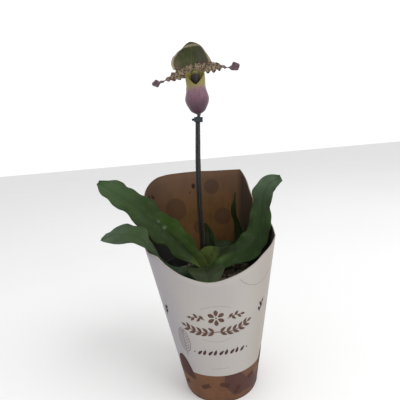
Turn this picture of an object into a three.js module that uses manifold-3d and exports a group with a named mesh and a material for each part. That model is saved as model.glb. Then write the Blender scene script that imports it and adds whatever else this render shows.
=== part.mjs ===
// Paphiopedilum orchid in flower, growing in a black nursery pot inside a tapered card sleeve.
// Millimetres, +Z up. The origin is the middle of the pot's base, and the flower faces -Y.

import * as THREE from 'three';
import { mergeVertices } from 'three/addons/utils/BufferGeometryUtils.js';
import Module from 'manifold-3d';

const wasm = await Module();
wasm.setup();

// ---------------------------------------------------------------- driving dimensions

const CLEARANCE = 0.3; // gap between neighbouring pieces

// Card sleeve: a cone of thin card, low at the front and standing up as a panel at the back.
const SLEEVE_LEVEL = 138; // height at which the sleeve is 120 mm across
const SLEEVE_LEVEL_RADIUS = 60;
const SLEEVE_TAPER = 0.18; // radius gained for each millimetre of height
const CARD = 0.7;
const SLEEVE_STEP_DEG = 4;
const CREASE_DEGREES = [-12, 192]; // the two folds of the sleeve as it is shipped flat
const CREASE_PROUD = 0.7;
const CREASE_REACH_DEG = 8;
const SEAM_START_DEG = 40; // the glued overlap, a second layer on the inside
const SEAM_END_DEG = 52;
const SLEEVE_CORNER_DEG = 56; // the one sharp corner of its top edge

// Height of the sleeve's top edge over SLEEVE_LEVEL, by angle from +X, anticlockwise from above.
const SLEEVE_TOP_EDGE = [
  [-160, 11], [-141, 10.5], [-130, 4], [-114, -4.5], [-92, -10], [-72, -6.5], [-54, -0.5],
  [-40, 6], [-22, 10.4], [-5, 14.4], [9, 18.8], [25, 27], [38, 37], [44, 47], [50, 62],
  [SLEEVE_CORNER_DEG, 71.7], [78, 71.8], [100, 73], [120, 73], [133, 71.6], [141, 68.5], [148, 64],
  [155, 57], [160, 44], [170, 26], [180, 16], [190, 12.5],
];

// Nursery pot
const POT_HEIGHT = 123;
const POT_RIM_BAND = 9;
const POT_RIM_PROUD = 2.2;
const POT_WALL = 1.2;
const POT_FLOOR = 1.6;
const DRAIN_RADIUS = 3.6;
const DRAIN_CIRCLE = 21;
const DRAIN_COUNT = 6;
const FOOT_STEP = 1.2; // how far the base is raised between its flat middle and its rim

// Bark mix
const BARK_LEVEL = 109;
const BARK_RISE = 3; // the middle of the mix is mounded by this much
const BARK_EDGE = 51; // distance from the middle at which it lies at BARK_LEVEL
const BARK_GAP = 0.5; // between the mix and the pot's wall
const CHIP = { count: 40, reach: 45.5, length: [7, 14], width: [5, 9], height: [2.6, 4.6] };
const GOLDEN_ANGLE = 2.39996; // radians from one chip to the next

// Crown, scape and stake
const CROWN = { x: -8.5, y: -3, foot: 98, top: 125, footRadius: 5.4, topRadius: 4.2 };
const SCAPE_RADIUS = 1.15;
const STAKE_RADIUS = 1;
const SCAPE_TOP = 268;
const STAKE_TOP = 266.5;
const STAKE_FOOT = 22;
const SCAPE_SHIFT = { x: 0.9, y: -0.7 }; // the scape stands here from the pair's middle line
const STAKE_SHIFT = { x: -1, y: 1 }; // and the stake here, a little behind it

// The middle line of the scape and stake together.
const PAIR_ROUTE = [[-8.2, 2, 131], [-7.2, 2, 150], [-6.8, 2, 180], [-4.8, 2, 222], [-1.5, 2, 262]];

// Clip round the scape and the stake
const CLIP = { z: 263.6, height: 4.4, wall: 0.7, grip: 2.2, tab: 2.2, tabHeight: 2.5, tilt: 4.5 };

// Flower: the point where its parts meet, above and in front of the scape
const FLOWER = new THREE.Vector3(-0.5, -6, 304.5);
const COLUMN_RADIUS = 3;
const POUCH = {
  halfWidths: [0.2, 5.7, 8, 9.7, 10.5, 9.9, 8.9, 8.3, 8.4, 8.5, 8.4], // from the foot to the rim
  depthShare: 0.86, // its depth from front to back, as a share of its width
  lobeRise: 8,
  backRise: 7,
  wall: 0.8,
  foot: -38.6,
  rim: -12.5,
  sides: 28,
  rows: 10,
};

// ---------------------------------------------------------------- small helpers

const degrees = (value) => (value * Math.PI) / 180;
const vector = (list) => new THREE.Vector3(list[0], list[1], list[2]);
const sleeveRadius = (z) => SLEEVE_LEVEL_RADIUS + (z - SLEEVE_LEVEL) * SLEEVE_TAPER;

// Repeatable random numbers from 0 to 1.
function seededRandom(seed) {
  let state = seed;
  return () => {
    state = (state * 1664525 + 1013904223) % 4294967296;
    return state / 4294967296;
  };
}

// A value from a list spread evenly over 0 to 1, on a smooth curve through the list.
function smoothValue(list, t) {
  const curve = new THREE.SplineCurve(list.map((value, i) => new THREE.Vector2(i, value)));
  return curve.getPoint(t).y;
}

function geometryFrom(points, triangles) {
  const geometry = new THREE.BufferGeometry();
  geometry.setAttribute('position', new THREE.Float32BufferAttribute(points.flat(), 3));
  geometry.setIndex(triangles.flat());
  return geometry;
}

function toSolid(geometry) {
  const bare = geometry.clone();
  bare.deleteAttribute('normal');
  bare.deleteAttribute('uv');
  const merged = mergeVertices(bare, 1e-4);
  const vertProperties = new Float32Array(merged.attributes.position.array);
  const triVerts = new Uint32Array(merged.index.array);
  return new wasm.Manifold(new wasm.Mesh({ numProp: 3, vertProperties, triVerts }));
}

function toGeometry(solid) {
  const mesh = solid.getMesh();
  const geometry = new THREE.BufferGeometry();
  geometry.setAttribute('position', new THREE.BufferAttribute(mesh.vertProperties, 3));
  geometry.setIndex(new THREE.BufferAttribute(mesh.triVerts, 1));
  return geometry;
}

// The largest connected piece of a solid, so that no loose scrap is left by a cut.
function largestPiece(solid) {
  const pieces = solid.decompose();
  return pieces.reduce((best, piece) => (piece.volume() > best.volume() ? piece : best));
}

function pieceOfMaterial(name, color, roughness, geometry, metalness = 0) {
  geometry.computeVertexNormals();
  const material = new THREE.MeshStandardMaterial({ color, roughness, metalness });
  const mesh = new THREE.Mesh(geometry, material);
  mesh.name = name;
  return mesh;
}

function tube(points, radius, steps, sides) {
  const path = new THREE.CatmullRomCurve3(points.map(vector), false, 'centripetal');
  const section = new THREE.Shape();
  for (let i = 0; i < sides; i++) {
    const angle = (2 * Math.PI * i) / sides;
    const x = radius * Math.cos(angle);
    const y = radius * Math.sin(angle);
    if (i === 0) section.moveTo(x, y);
    else section.lineTo(x, y);
  }
  section.closePath();
  return new THREE.ExtrudeGeometry(section, { steps, extrudePath: path, curveSegments: 1 });
}

// A solid of revolution round a vertical line at (x, y).
function turned(profile, sides, x = 0, y = 0) {
  const points = profile.map(([radius, z]) => new THREE.Vector2(radius, z));
  const geometry = new THREE.LatheGeometry(points, sides);
  geometry.rotateX(Math.PI / 2);
  geometry.translate(x, y, 0);
  return geometry;
}

// Two sheets of points, top and bottom, with the same triangles, closed round their border.
function closedSheet(top, bottom, rows, columns) {
  const width = columns + 1;
  const count = (rows + 1) * width;
  const triangles = [];
  const quad = (a, b, c, d) => triangles.push([a, b, c], [a, c, d]);
  for (let i = 0; i < rows; i++) {
    for (let j = 0; j < columns; j++) {
      const a = i * width + j;
      const b = a + 1;
      const c = b + width;
      const d = a + width;
      const leansLeft = j < columns / 2;
      if (leansLeft) {
        triangles.push([a, b, c], [a, c, d]);
        triangles.push([a + count, c + count, b + count], [a + count, d + count, c + count]);
      } else {
        triangles.push([a, b, d], [b, c, d]);
        triangles.push([a + count, d + count, b + count], [b + count, d + count, c + count]);
      }
    }
  }
  for (let i = 0; i < rows; i++) {
    const left = i * width;
    const right = left + columns;
    quad(left, left + width, left + width + count, left + count);
    quad(right + width, right, right + count, right + width + count);
  }
  for (let j = 0; j < columns; j++) {
    const far = rows * width + j;
    quad(j + 1, j, j + count, j + 1 + count);
    quad(far, far + 1, far + 1 + count, far + count);
  }
  return outwardFacing(geometryFrom([...top, ...bottom], triangles));
}

function outwardFacing(geometry) {
  const position = geometry.attributes.position;
  const index = geometry.index.array;
  const [a, b, c] = [new THREE.Vector3(), new THREE.Vector3(), new THREE.Vector3()];
  let volume = 0;
  for (let i = 0; i < index.length; i += 3) {
    a.fromBufferAttribute(position, index[i]);
    b.fromBufferAttribute(position, index[i + 1]);
    c.fromBufferAttribute(position, index[i + 2]);
    volume += a.dot(b.cross(c));
  }
  if (volume < 0) {
    for (let i = 0; i < index.length; i += 3) {
      [index[i + 1], index[i + 2]] = [index[i + 2], index[i + 1]];
    }
  }
  return geometry;
}

// ---------------------------------------------------------------- blades: leaves, sepals, petals

const SIDE_LAG = 1.9; // radians by which the waves of one margin trail those of the other
const LEAST_HALF_WIDTH = 0.5;

// A blade follows a midrib through `spine`. Its upper face looks towards `facing`, given at
// evenly spaced stations, and `halfWidth` is its half width at evenly spaced stations.
// reaches: in place of halfWidth, how far each of the two margins lies from the midrib.
// keel: the margins rise from the midrib at this angle. cup: they also curve up by this, less
// towards the tip.
// ripple: height of the waves of the margins. scallop: share by which they vary the width.
function blade(shape, grow = 0) {
  const {
    spine, facing, halfWidth, reaches, rows, columns, thickness,
    keel = 0, cup = 0, ripple = 0, waves = 0, phase = 0, scallop = 0, tipPower = 6,
    rowCrowding = 1.35,
  } = shape;
  const path = new THREE.CatmullRomCurve3(spine.map(vector), false, 'centripetal');
  const axisNames = [0, 1, 2];
  const top = [];
  const bottom = [];
  for (let i = 0; i <= rows; i++) {
    const u = 1 - Math.pow(1 - i / rows, rowCrowding);
    const point = path.getPointAt(u);
    const tangent = path.getTangentAt(u);
    const look = vector(axisNames.map((k) => smoothValue(facing.map((f) => f[k]), u)));
    const normal = look.addScaledVector(tangent, -look.dot(tangent)).normalize();
    const side = new THREE.Vector3().crossVectors(tangent, normal);
    const rounding = Math.sqrt(Math.max(0, 1 - Math.pow(u, tipPower)));
    const widths = reaches
      ? reaches.map((margin) => smoothValue(margin, u))
      : [smoothValue(halfWidth, u) * rounding];
    const halves = widths.map((width) => Math.max(LEAST_HALF_WIDTH, width) + grow);
    const angle = degrees(keel) * (1 - 0.5 * u);
    for (let j = 0; j <= columns; j++) {
      const v = (2 * j) / columns - 1;
      const wavePhase = 2 * Math.PI * waves * u + phase + (v > 0 ? SIDE_LAG : 0);
      const margin = v * v * THREE.MathUtils.smoothstep(u, 0, 0.25);
      const half = v > 0 ? halves[halves.length - 1] : halves[0];
      const reach = v * half * (1 + scallop * Math.sin(wavePhase + 0.8) * Math.abs(v));
      const waveRise = ripple * margin * Math.sin(wavePhase);
      const rise = Math.abs(reach) * Math.sin(angle) + cup * rounding * v * v + waveRise;
      const centre = point.clone()
        .addScaledVector(side, reach * Math.cos(angle))
        .addScaledVector(normal, rise);
      const halfThick = (thickness * (1 - 0.3 * v * v)) / 2 + grow;
      top.push(centre.clone().addScaledVector(normal, halfThick).toArray());
      bottom.push(centre.clone().addScaledVector(normal, -halfThick).toArray());
    }
  }
  return closedSheet(top, bottom, rows, columns);
}

// ---------------------------------------------------------------- sleeve

function sleeveTopHeight(angle) {
  const edge = SLEEVE_TOP_EDGE;
  const first = edge[0][0];
  let a = angle;
  while (a < first) a += 360;
  while (a >= first + 360) a -= 360;
  const ring = [...edge, [first + 360, edge[0][1]]];
  const k = ring.findIndex(([end]) => end > a) - 1;
  const at = (i) => {
    const n = edge.length;
    const turns = Math.floor(i / n);
    const [x, y] = edge[i - turns * n];
    return [x + 360 * turns, y];
  };
  const [x0, y0] = at(k - 1);
  const [x1, y1] = at(k);
  const [x2, y2] = at(k + 1);
  const [x3, y3] = at(k + 2);
  const cornerAt = (x) => x === SLEEVE_CORNER_DEG;
  const before = cornerAt(x1) ? (y2 - y1) / (x2 - x1) : slope(x0, y0, x1, y1, x2, y2);
  const after = cornerAt(x2) ? (y2 - y1) / (x2 - x1) : slope(x1, y1, x2, y2, x3, y3);
  const t = (a - x1) / (x2 - x1);
  const span = x2 - x1;
  const hermite = (2 * t ** 3 - 3 * t ** 2 + 1) * y1 + (t ** 3 - 2 * t ** 2 + t) * span * before
    + (3 * t ** 2 - 2 * t ** 3) * y2 + (t ** 3 - t ** 2) * span * after;
  return SLEEVE_LEVEL + hermite;
}

// Slope of a monotone curve at the middle one of three points.
function slope(x0, y0, x1, y1, x2, y2) {
  const left = (y1 - y0) / (x1 - x0);
  const right = (y2 - y1) / (x2 - x1);
  if (left * right <= 0) return 0;
  return (2 * left * right) / (left + right);
}

function creaseBulge(angle) {
  const nearest = Math.min(...CREASE_DEGREES.map((crease) => Math.abs(angle - crease)));
  return CREASE_PROUD * Math.max(0, 1 - nearest / CREASE_REACH_DEG);
}

function makeSleeve() {
  const angles = [];
  for (let a = -160; a < 200; a += SLEEVE_STEP_DEG) angles.push(a);
  const seam = [SEAM_START_DEG + 0.4, SEAM_END_DEG + 0.4];
  const all = [...angles, ...seam].sort((p, q) => p - q);
  const points = [];
  const triangles = [];
  for (const angle of all) {
    const inSeam = angle > SEAM_START_DEG + 0.1 && angle < SEAM_END_DEG + 0.1;
    const direction = [Math.cos(degrees(angle)), Math.sin(degrees(angle))];
    const z = sleeveTopHeight(angle);
    const bulge = creaseBulge(angle);
    const inner = inSeam ? 2 * CARD : CARD;
    for (const [height, depth] of [[0, 0], [z, 0], [z, inner], [0, inner]]) {
      const radius = sleeveRadius(height) + bulge - depth;
      points.push([direction[0] * radius, direction[1] * radius, height]);
    }
  }
  const n = all.length;
  for (let i = 0; i < n; i++) {
    const j = (i + 1) % n;
    for (let k = 0; k < 4; k++) {
      const next = (k + 1) % 4;
      const [a, b, c, d] = [4 * i + k, 4 * j + k, 4 * j + next, 4 * i + next];
      triangles.push([a, b, c], [a, c, d]);
    }
  }
  return pieceOfMaterial('card_sleeve', 0xcfc8c2, 0.7, outwardFacing(geometryFrom(points, triangles)));
}

// ---------------------------------------------------------------- pot and bark

const potRimRadius = sleeveRadius(POT_HEIGHT) - 2 * CARD - CLEARANCE - 0.1;
const potBaseRadius = sleeveRadius(0) - 2 * CARD - CLEARANCE - 0.3;
const bandFoot = POT_HEIGHT - POT_RIM_BAND;
const wallTopRadius = sleeveRadius(bandFoot) - 2 * CARD - CLEARANCE - POT_RIM_PROUD;

function potInnerRadius(z) {
  const share = (z - POT_FLOOR) / (bandFoot - POT_FLOOR);
  return potBaseRadius + (wallTopRadius - potBaseRadius) * share - POT_WALL;
}

function makePot() {
  const profile = [
    [0, 0], [12, 0], [13, FOOT_STEP], [potBaseRadius - 6, FOOT_STEP], [potBaseRadius - 5, 0],
    [potBaseRadius - 0.8, 0], [potBaseRadius, 0.8],
    [wallTopRadius, bandFoot], [potRimRadius - 1.4, bandFoot + 1],
    [potRimRadius, POT_HEIGHT - 1.2], [potRimRadius - 0.6, POT_HEIGHT],
    [potRimRadius - 3.6, POT_HEIGHT], [potRimRadius - 4.2, POT_HEIGHT - 1.6],
    [wallTopRadius - POT_WALL, bandFoot - 1],
    [potInnerRadius(POT_FLOOR + 3), POT_FLOOR + 3],
    [potInnerRadius(POT_FLOOR) - 2, POT_FLOOR + FOOT_STEP],
    [0, POT_FLOOR + FOOT_STEP],
  ];
  let solid = toSolid(outwardFacing(indexed(turned(profile, 48))));
  for (let i = 0; i < DRAIN_COUNT; i++) {
    const angle = (2 * Math.PI * (i + 0.5)) / DRAIN_COUNT;
    const drill = new THREE.CylinderGeometry(DRAIN_RADIUS, DRAIN_RADIUS, 12, 14);
    drill.rotateX(Math.PI / 2);
    drill.translate(DRAIN_CIRCLE * Math.cos(angle), DRAIN_CIRCLE * Math.sin(angle), 2);
    solid = solid.subtract(toSolid(drill));
  }
  return pieceOfMaterial('nursery_pot', 0x1f2123, 0.55, toGeometry(solid));
}

function indexed(geometry) {
  const bare = geometry.clone();
  bare.deleteAttribute('normal');
  bare.deleteAttribute('uv');
  return dropFlatTriangles(mergeVertices(bare, 1e-4));
}

// Triangles with two corners at one point, as at the poles of a turned shape, are left out.
function dropFlatTriangles(geometry) {
  const old = geometry.index.array;
  const kept = [];
  for (let i = 0; i < old.length; i += 3) {
    const [a, b, c] = [old[i], old[i + 1], old[i + 2]];
    if (a !== b && b !== c && c !== a) kept.push(a, b, c);
  }
  geometry.setIndex(kept);
  return geometry;
}

function barkSurface(radius) {
  return BARK_LEVEL + BARK_RISE * (1 - (radius / BARK_EDGE) ** 2);
}

function makeBark() {
  const footZ = POT_FLOOR + FOOT_STEP + CLEARANCE;
  const shoulder = barkSurface(BARK_EDGE) - 1;
  const wallAt = (z) => potInnerRadius(z) - BARK_GAP;
  const mound = [42, 28, 14, 0].map((radius) => [radius, barkSurface(radius)]);
  const profile = [
    [0, footZ], [wallAt(footZ) - 2.5, footZ], [wallAt(8), 8], [wallAt(shoulder), shoulder], ...mound,
  ];
  let solid = toSolid(outwardFacing(indexed(turned(profile, 30))));
  const random = seededRandom(41);
  const between = ([low, high]) => low + (high - low) * random();
  const chips = [];
  for (let i = 0; i < CHIP.count; i++) {
    const angle = i * GOLDEN_ANGLE + 0.5 * random();
    const [length, width, height] = [between(CHIP.length), between(CHIP.width), between(CHIP.height)];
    const chip = new THREE.BoxGeometry(length, width, height);
    chip.rotateX(0.5 * (random() - 0.5));
    chip.rotateY(0.7 * (random() - 0.5));
    chip.rotateZ(Math.PI * random());
    const evenly = CHIP.reach * Math.sqrt((i + 0.6) / CHIP.count);
    const reach = Math.min(evenly, wallAt(BARK_LEVEL) - 0.62 * length - 1);
    const lift = barkSurface(reach) + 0.3 + 1.2 * random();
    chip.translate(reach * Math.cos(angle), reach * Math.sin(angle), lift);
    chips.push(toSolid(chip));
  }
  for (const chip of chips) solid = solid.add(chip);
  const wide = CROWN.footRadius + CLEARANCE;
  const holeFoot = CROWN.foot - CLEARANCE;
  const holeTop = CROWN.top + 5;
  const crownHole = [[0, holeFoot], [wide, holeFoot], [wide, holeTop], [0, holeTop]];
  const holes = [
    turned(crownHole, 16, CROWN.x, CROWN.y),
    tube(stakeRoute(STAKE_FOOT - 1), STAKE_RADIUS + CLEARANCE, 26, 8),
  ];
  for (const hole of holes) solid = solid.subtract(toSolid(outwardFacing(indexed(hole))));
  return pieceOfMaterial('potting_bark', 0x4a3324, 0.95, toGeometry(largestPiece(solid)));
}

// ---------------------------------------------------------------- crown, scape, stake, clip

function crownProfile(grow = 0) {
  const { foot, top, footRadius, topRadius } = CROWN;
  return [
    [0, foot - grow], [footRadius - 1 + grow, foot - grow], [footRadius + grow, foot + 1],
    [topRadius + grow, top - 1], [topRadius - 0.8 + grow, top + grow], [0, top + grow],
  ];
}

function crownSolid(grow) {
  return toSolid(outwardFacing(indexed(turned(crownProfile(grow), 14, CROWN.x, CROWN.y))));
}

function makeCrown() {
  return pieceOfMaterial('crown', 0x5d6b35, 0.6, toGeometry(crownSolid(0)));
}

function stakeRoute(footZ) {
  const upper = PAIR_ROUTE.map(([x, y, z]) => [x + STAKE_SHIFT.x, y + STAKE_SHIFT.y, z]);
  const last = [upper[4][0] + 0.4, upper[4][1], STAKE_TOP];
  return [[-11, 8.5, footZ], [-10.8, 7.4, 90], [-10.4, 4.6, 118], ...upper, last];
}

function makeStake() {
  const geometry = tube(stakeRoute(STAKE_FOOT), STAKE_RADIUS, 26, 8);
  return pieceOfMaterial('support_stake', 0x3f4442, 0.6, geometry);
}

function scapeRoute() {
  const upper = PAIR_ROUTE.map(([x, y, z]) => [x + SCAPE_SHIFT.x, y + SCAPE_SHIFT.y, z]);
  return [[-7.6, -0.6, CROWN.top + CLEARANCE], ...upper, [-0.2, 1.4, SCAPE_TOP]];
}

function makeScape() {
  return pieceOfMaterial('scape', 0x3a3032, 0.7, tube(scapeRoute(), SCAPE_RADIUS, 26, 8));
}

// The clip: a collar round the pair, thicker on the right, with a short lever on the left.
function makeClip() {
  const slack = CLEARANCE + 0.1;
  const corner = 0.9;
  const left = STAKE_SHIFT.x - STAKE_RADIUS - slack;
  const right = SCAPE_SHIFT.x + SCAPE_RADIUS + slack;
  const front = SCAPE_SHIFT.y - SCAPE_RADIUS - slack;
  const back = STAKE_SHIFT.y + STAKE_RADIUS + slack;
  const cutCorners = (x0, x1, y0, y1) => [
    [x0 + corner, y0], [x1 - corner, y0], [x1, y0 + corner], [x1, y1 - corner],
    [x1 - corner, y1], [x0 + corner, y1], [x0, y1 - corner], [x0, y0 + corner],
  ].map(([x, y]) => new THREE.Vector2(x, y));
  const { wall, grip } = CLIP;
  const plan = new THREE.Shape(cutCorners(left - wall, right + grip, front - wall, back + wall));
  plan.holes.push(new THREE.Path(cutCorners(left, right, front, back)));
  const body = new THREE.ExtrudeGeometry(plan, { depth: CLIP.height, bevelEnabled: false });
  body.translate(0, 0, -CLIP.height / 2);
  const lever = new THREE.BoxGeometry(CLIP.tab + 0.6, 1.8, CLIP.tabHeight);
  lever.translate(left - wall - CLIP.tab / 2 + 0.3, 0, 0);
  const joined = toGeometry(toSolid(body).add(toSolid(lever)));
  joined.rotateY(degrees(CLIP.tilt));
  joined.translate(PAIR_ROUTE[4][0], PAIR_ROUTE[4][1], CLIP.z);
  return pieceOfMaterial('stake_clip', 0x26302f, 0.45, joined);
}

// ---------------------------------------------------------------- leaves

const LEAF = { rows: 18, columns: 6, thickness: 1.3, keel: 20 };

const LEAVES = {
  leaf_left_upper: {
    spine: [
      [-12, -6, 125], [-26, -5, 144], [-46, 0, 164], [-65.5, 4, 182.5], [-85, 9, 198],
      [-104.5, 12, 211.5],
    ],
    facing: [[0.2, -0.85, 0.5], [0.3, -0.8, 0.5], [0.35, -0.75, 0.55], [0.3, -0.75, 0.6]],
    reaches: [
      [6, 7, 9, 12, 14.5, 13, 12, 16, 17.3, 15.5, 15.4, 15.3, 15.6, 13.9, 11.8, 13.1, 14.3, 12.6, 10.2,
        7.8, 3.2],
      [5.5, 7, 8, 10.9, 12.5, 13.2, 15.3, 15.3, 13.5, 14.8, 13.4, 13.9, 14.9, 16, 14.2, 12.9, 11.2,
        14.3, 14.4, 9, 3.2],
    ],
    ripple: 2.6, waves: 5, phase: 0.4,
  },
  leaf_right_upper: {
    spine: [
      [-4, -6, 123.5], [12, -6, 128], [30, -2, 132], [46, 7, 144], [53, 14, 163],
      [57.5, 18, 184], [65, 19, 196], [77.5, 17, 201],
    ],
    facing: [
      [0, -0.6, 0.8], [-0.1, -0.7, 0.7], [-0.4, -0.85, 0.3], [-0.3, -0.95, 0.1], [-0.2, -0.9, 0.3],
    ],
    reaches: [
      [9.5, 9.6, 10, 11, 11.5, 12, 13.2, 13.8, 13.8, 12.9, 12.2, 11.4, 10.5, 11, 10.2, 9.1, 12.1, 10.3,
        9.4, 7.8, 3.6],
      [9, 9.5, 10.6, 11.1, 8.6, 9.4, 13.6, 14.9, 12.4, 13, 12.2, 13.4, 12, 10.7, 8.8, 9.9, 9.6, 8.7,
        8.6, 7.4, 3.6],
    ],
    ripple: 2, waves: 5, phase: 1.2,
  },
  leaf_centre_small: {
    spine: [[-5, 2, 121], [0, 7, 138], [0.5, 10, 150], [-3.5, 12, 163]],
    facing: [[-0.2, -0.9, 0.2], [-0.2, -0.9, 0], [-0.1, -0.9, 0.2]],
    halfWidth: [3.5, 5.8, 6.5, 5.5],
    ripple: 0.4, waves: 2, phase: 0, tipPower: 2,
  },
  leaf_left_lower: {
    spine: [
      [-11, -8, 117.5], [-20, -14, 119], [-29.5, -20, 122.5], [-38.6, -25, 130], [-46.5, -26.5, 139.5],
      [-52.5, -25.5, 149], [-58.5, -24, 157.5], [-65, -21.5, 162], [-74.6, -18, 164.4],
      [-86, -15, 165], [-102, -12, 160],
    ],
    facing: [[0.2, -0.5, 0.8], [0.3, -0.45, 0.8], [0.65, -0.2, 0.7], [0.15, -0.6, 0.8], [0, -0.6, 0.8]],
    reaches: [
      [5, 5.8, 7.4, 9.3, 10.7, 11.4, 12, 11.4, 8.7, 7.6, 6.4, 5.6, 9, 11.8, 14, 14.5, 13, 11.6, 9.4, 6, 1.5],
      [4, 5.9, 6.9, 6.9, 7.3, 7.6, 6.2, 3.5, 1.8, 2.8, 7, 7.3, 5.4, 11, 11, 11.5, 12, 8.6, 5.4, 4.6, 2.5],
    ],
    ripple: 1.8, waves: 4, phase: 2.2,
  },
  leaf_back_narrow: {
    spine: [[-4, 1, 119], [15, 13, 128], [32, 22, 139], [31.5, 26, 154], [28.5, 29, 172], [31.5, 30, 189]],
    facing: [[-0.3, -0.5, 0.8], [-0.7, -0.5, 0.5], [-0.9, -0.45, 0], [-0.9, -0.5, 0.2]],
    halfWidth: [5, 7, 9, 9, 7.5, 5],
    ripple: 0.8, waves: 4, phase: 0.6, tipPower: 2.5,
  },
  leaf_back_low: {
    spine: [[-4, -1, 117.5], [8, 9, 129], [20, 17, 135], [34, 24, 133]],
    facing: [[0, -0.6, 0.8], [0, -0.6, 0.8], [0.1, -0.5, 0.85]],
    reaches: [
      [5.4, 5.4, 5.8, 7, 8.5, 10.5, 12.5, 14, 15, 15.3, 15, 14, 12, 9.4, 6.5, 5, 4.5, 4, 3.5, 2.5, 0.5],
      [5, 5, 5.5, 6.3, 7, 7.5, 7.7, 7.6, 7.8, 8.2, 8.7, 8.9, 8.6, 8, 7.3, 6.8, 6.3, 5.8, 4.7, 3.2, 0.5],
    ],
    ripple: 1, waves: 3, phase: 1,
  },
  leaf_front: {
    spine: [[-8.5, -8, 116.5], [-6, -24, 125], [-4.5, -37, 126], [-4, -49, 120.5]],
    facing: [[0, -0.2, 1], [0, -0.3, 1], [0, -0.5, 0.85]],
    reaches: [
      [5.5, 6, 7, 8.5, 10.5, 12.5, 14.5, 16.3, 17.6, 18.7, 19.6, 20.4, 20.8, 20.4, 19.2, 17, 14.6, 12.4,
        10, 7, 1],
      [5, 5.5, 6.5, 8, 9.8, 11.3, 12.2, 12.4, 12.8, 13.4, 14.3, 15, 15.2, 14.8, 14, 13, 11.5, 10, 8.3,
        5.5, 1],
    ],
    ripple: 1.2, waves: 3, phase: 0.5,
  },
};

// Each leaf is trimmed, with a small gap, to the crown and to the leaves that come before it.
function makeLeaves() {
  const taken = [crownSolid(CLEARANCE)];
  return Object.entries(LEAVES).map(([name, own]) => {
    const shape = { ...LEAF, ...own };
    let solid = toSolid(blade(shape));
    for (const other of taken) solid = solid.subtract(other);
    taken.push(toSolid(blade(shape, CLEARANCE)));
    return pieceOfMaterial(name, 0x35562b, 0.55, toGeometry(largestPiece(solid)));
  });
}

// ---------------------------------------------------------------- flower, round its own middle

const DORSAL_SEPAL = {
  spine: [[-2.2, 0.5, 2.6], [-2.2, 3, 8], [-1.6, 3.8, 15], [-1.4, 2.2, 21], [-1.9, -1, 25.4]],
  facing: [[0, -1, 0.1], [0, -1, 0.1], [0, -1, -0.3]],
  halfWidth: [15.8, 17.8, 17.2, 15.4, 14.4, 14],
  rows: 11, columns: 8, thickness: 0.8, cup: 5, tipPower: 3,
};

const SYNSEPAL = {
  spine: [[0, 1.5, -3.4], [-0.3, 3.4, -12], [-0.5, 3.2, -22], [-0.6, 0, -30]],
  facing: [[0, -1, 0], [0, -1, 0], [0, -1, 0.4]],
  halfWidth: [4, 8.5, 9, 6],
  rows: 9, columns: 6, thickness: 0.8, cup: 2, tipPower: 3,
};

const PETAL = {
  rows: 32, columns: 4, thickness: 0.8, waves: 7.6, ripple: 1.5, scallop: 0.1,
  tipPower: 14, rowCrowding: 1.1,
};

const PETAL_LEFT = {
  ...PETAL,
  spine: [
    [-0.4, -2.6, 3.2], [-4, -3, 1.4], [-9, -3.6, -0.4], [-15, -4, -2], [-22, -3, -4],
    [-28.6, -2, -5.8], [-32, -1.5, -6.8], [-35, -1, -7], [-38.5, -1, -7],
  ],
  facing: [[0, -1, 0.4], [0, -1, 0.3], [0, -0.9, 0.5], [0, -1, 0]],
  halfWidth: [3.4, 3.5, 3.6, 3.6, 3.5, 2.8, 1.1, 0.85, 3.8, 3.4],
  phase: 0.5,
};

const PETAL_RIGHT = {
  ...PETAL,
  spine: [
    [0.4, -2.6, 3.4], [4, -3, 3], [9, -3.6, 2.6], [15.5, -4, 2.2], [23.5, -3, 1.8],
    [28.2, -2, 1.2], [31, -1.5, 0.5], [34.8, -1, 0.9], [39.6, -1, 3],
  ],
  facing: [[0, -1, 0.4], [0, -1, 0.3], [0, -0.9, 0.5], [0, -1, 0]],
  halfWidth: [3.4, 3.5, 3.5, 3.5, 3.4, 2.4, 0.8, 0.9, 4.85, 4.4],
  phase: 2.1,
};

const STAMINODE = {
  spine: [[0.5, -9, 0.8], [0.5, -11, -4], [0.4, -12.4, -9], [0.4, -12.6, -13.6]],
  facing: [[0, -1, 0.3], [0, -1, 0], [0, -1, -0.2]],
  halfWidth: [2.8, 4.2, 3.9, 1.4],
  rows: 7, columns: 4, thickness: 1.4, cup: -1.2, tipPower: 5,
};

const BRACT = {
  spine: [[0, 3.2, 266.6], [0.2, 5, 269], [0.3, 8, 275], [0.4, 9.2, 284]],
  facing: [[0, -1, 0.2], [0, -1, 0.3], [0, -1, 0.3]],
  halfWidth: [1.4, 4, 3],
  rows: 7, columns: 6, thickness: 0.7, keel: 24, tipPower: 2.5,
};

const OVARY_RADIUS = 1.9;
const OVARY_ROUTE = [[-0.2, 1.5, 268.3], [0.3, 4.4, 278], [0, 4.6, 290], [-0.4, -1.5, 302]];

// The column runs forward from the ovary; the petals and sepals meet on it.
function columnSolid(grow) {
  const profile = [
    [0, -3.6 - grow], [COLUMN_RADIUS - 1 + grow, -3 - grow], [COLUMN_RADIUS + grow, -1],
    [COLUMN_RADIUS - 0.4 + grow, 4], [COLUMN_RADIUS - 1.2 + grow, 7.4 + grow], [0, 7.8 + grow],
  ];
  const geometry = turned(profile, 14);
  geometry.rotateX(Math.PI / 2);
  return toSolid(outwardFacing(indexed(geometry)));
}

// The rim dips at the front and rises into a lobe on each side.
function pouchRimHeight(angle) {
  const sideways = Math.cos(angle) ** 2;
  const backwards = Math.sin(angle);
  if (backwards < 0) return POUCH.rim + POUCH.lobeRise * sideways + 1.5 * backwards;
  return POUCH.rim + POUCH.lobeRise * sideways + POUCH.backRise * backwards;
}

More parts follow.
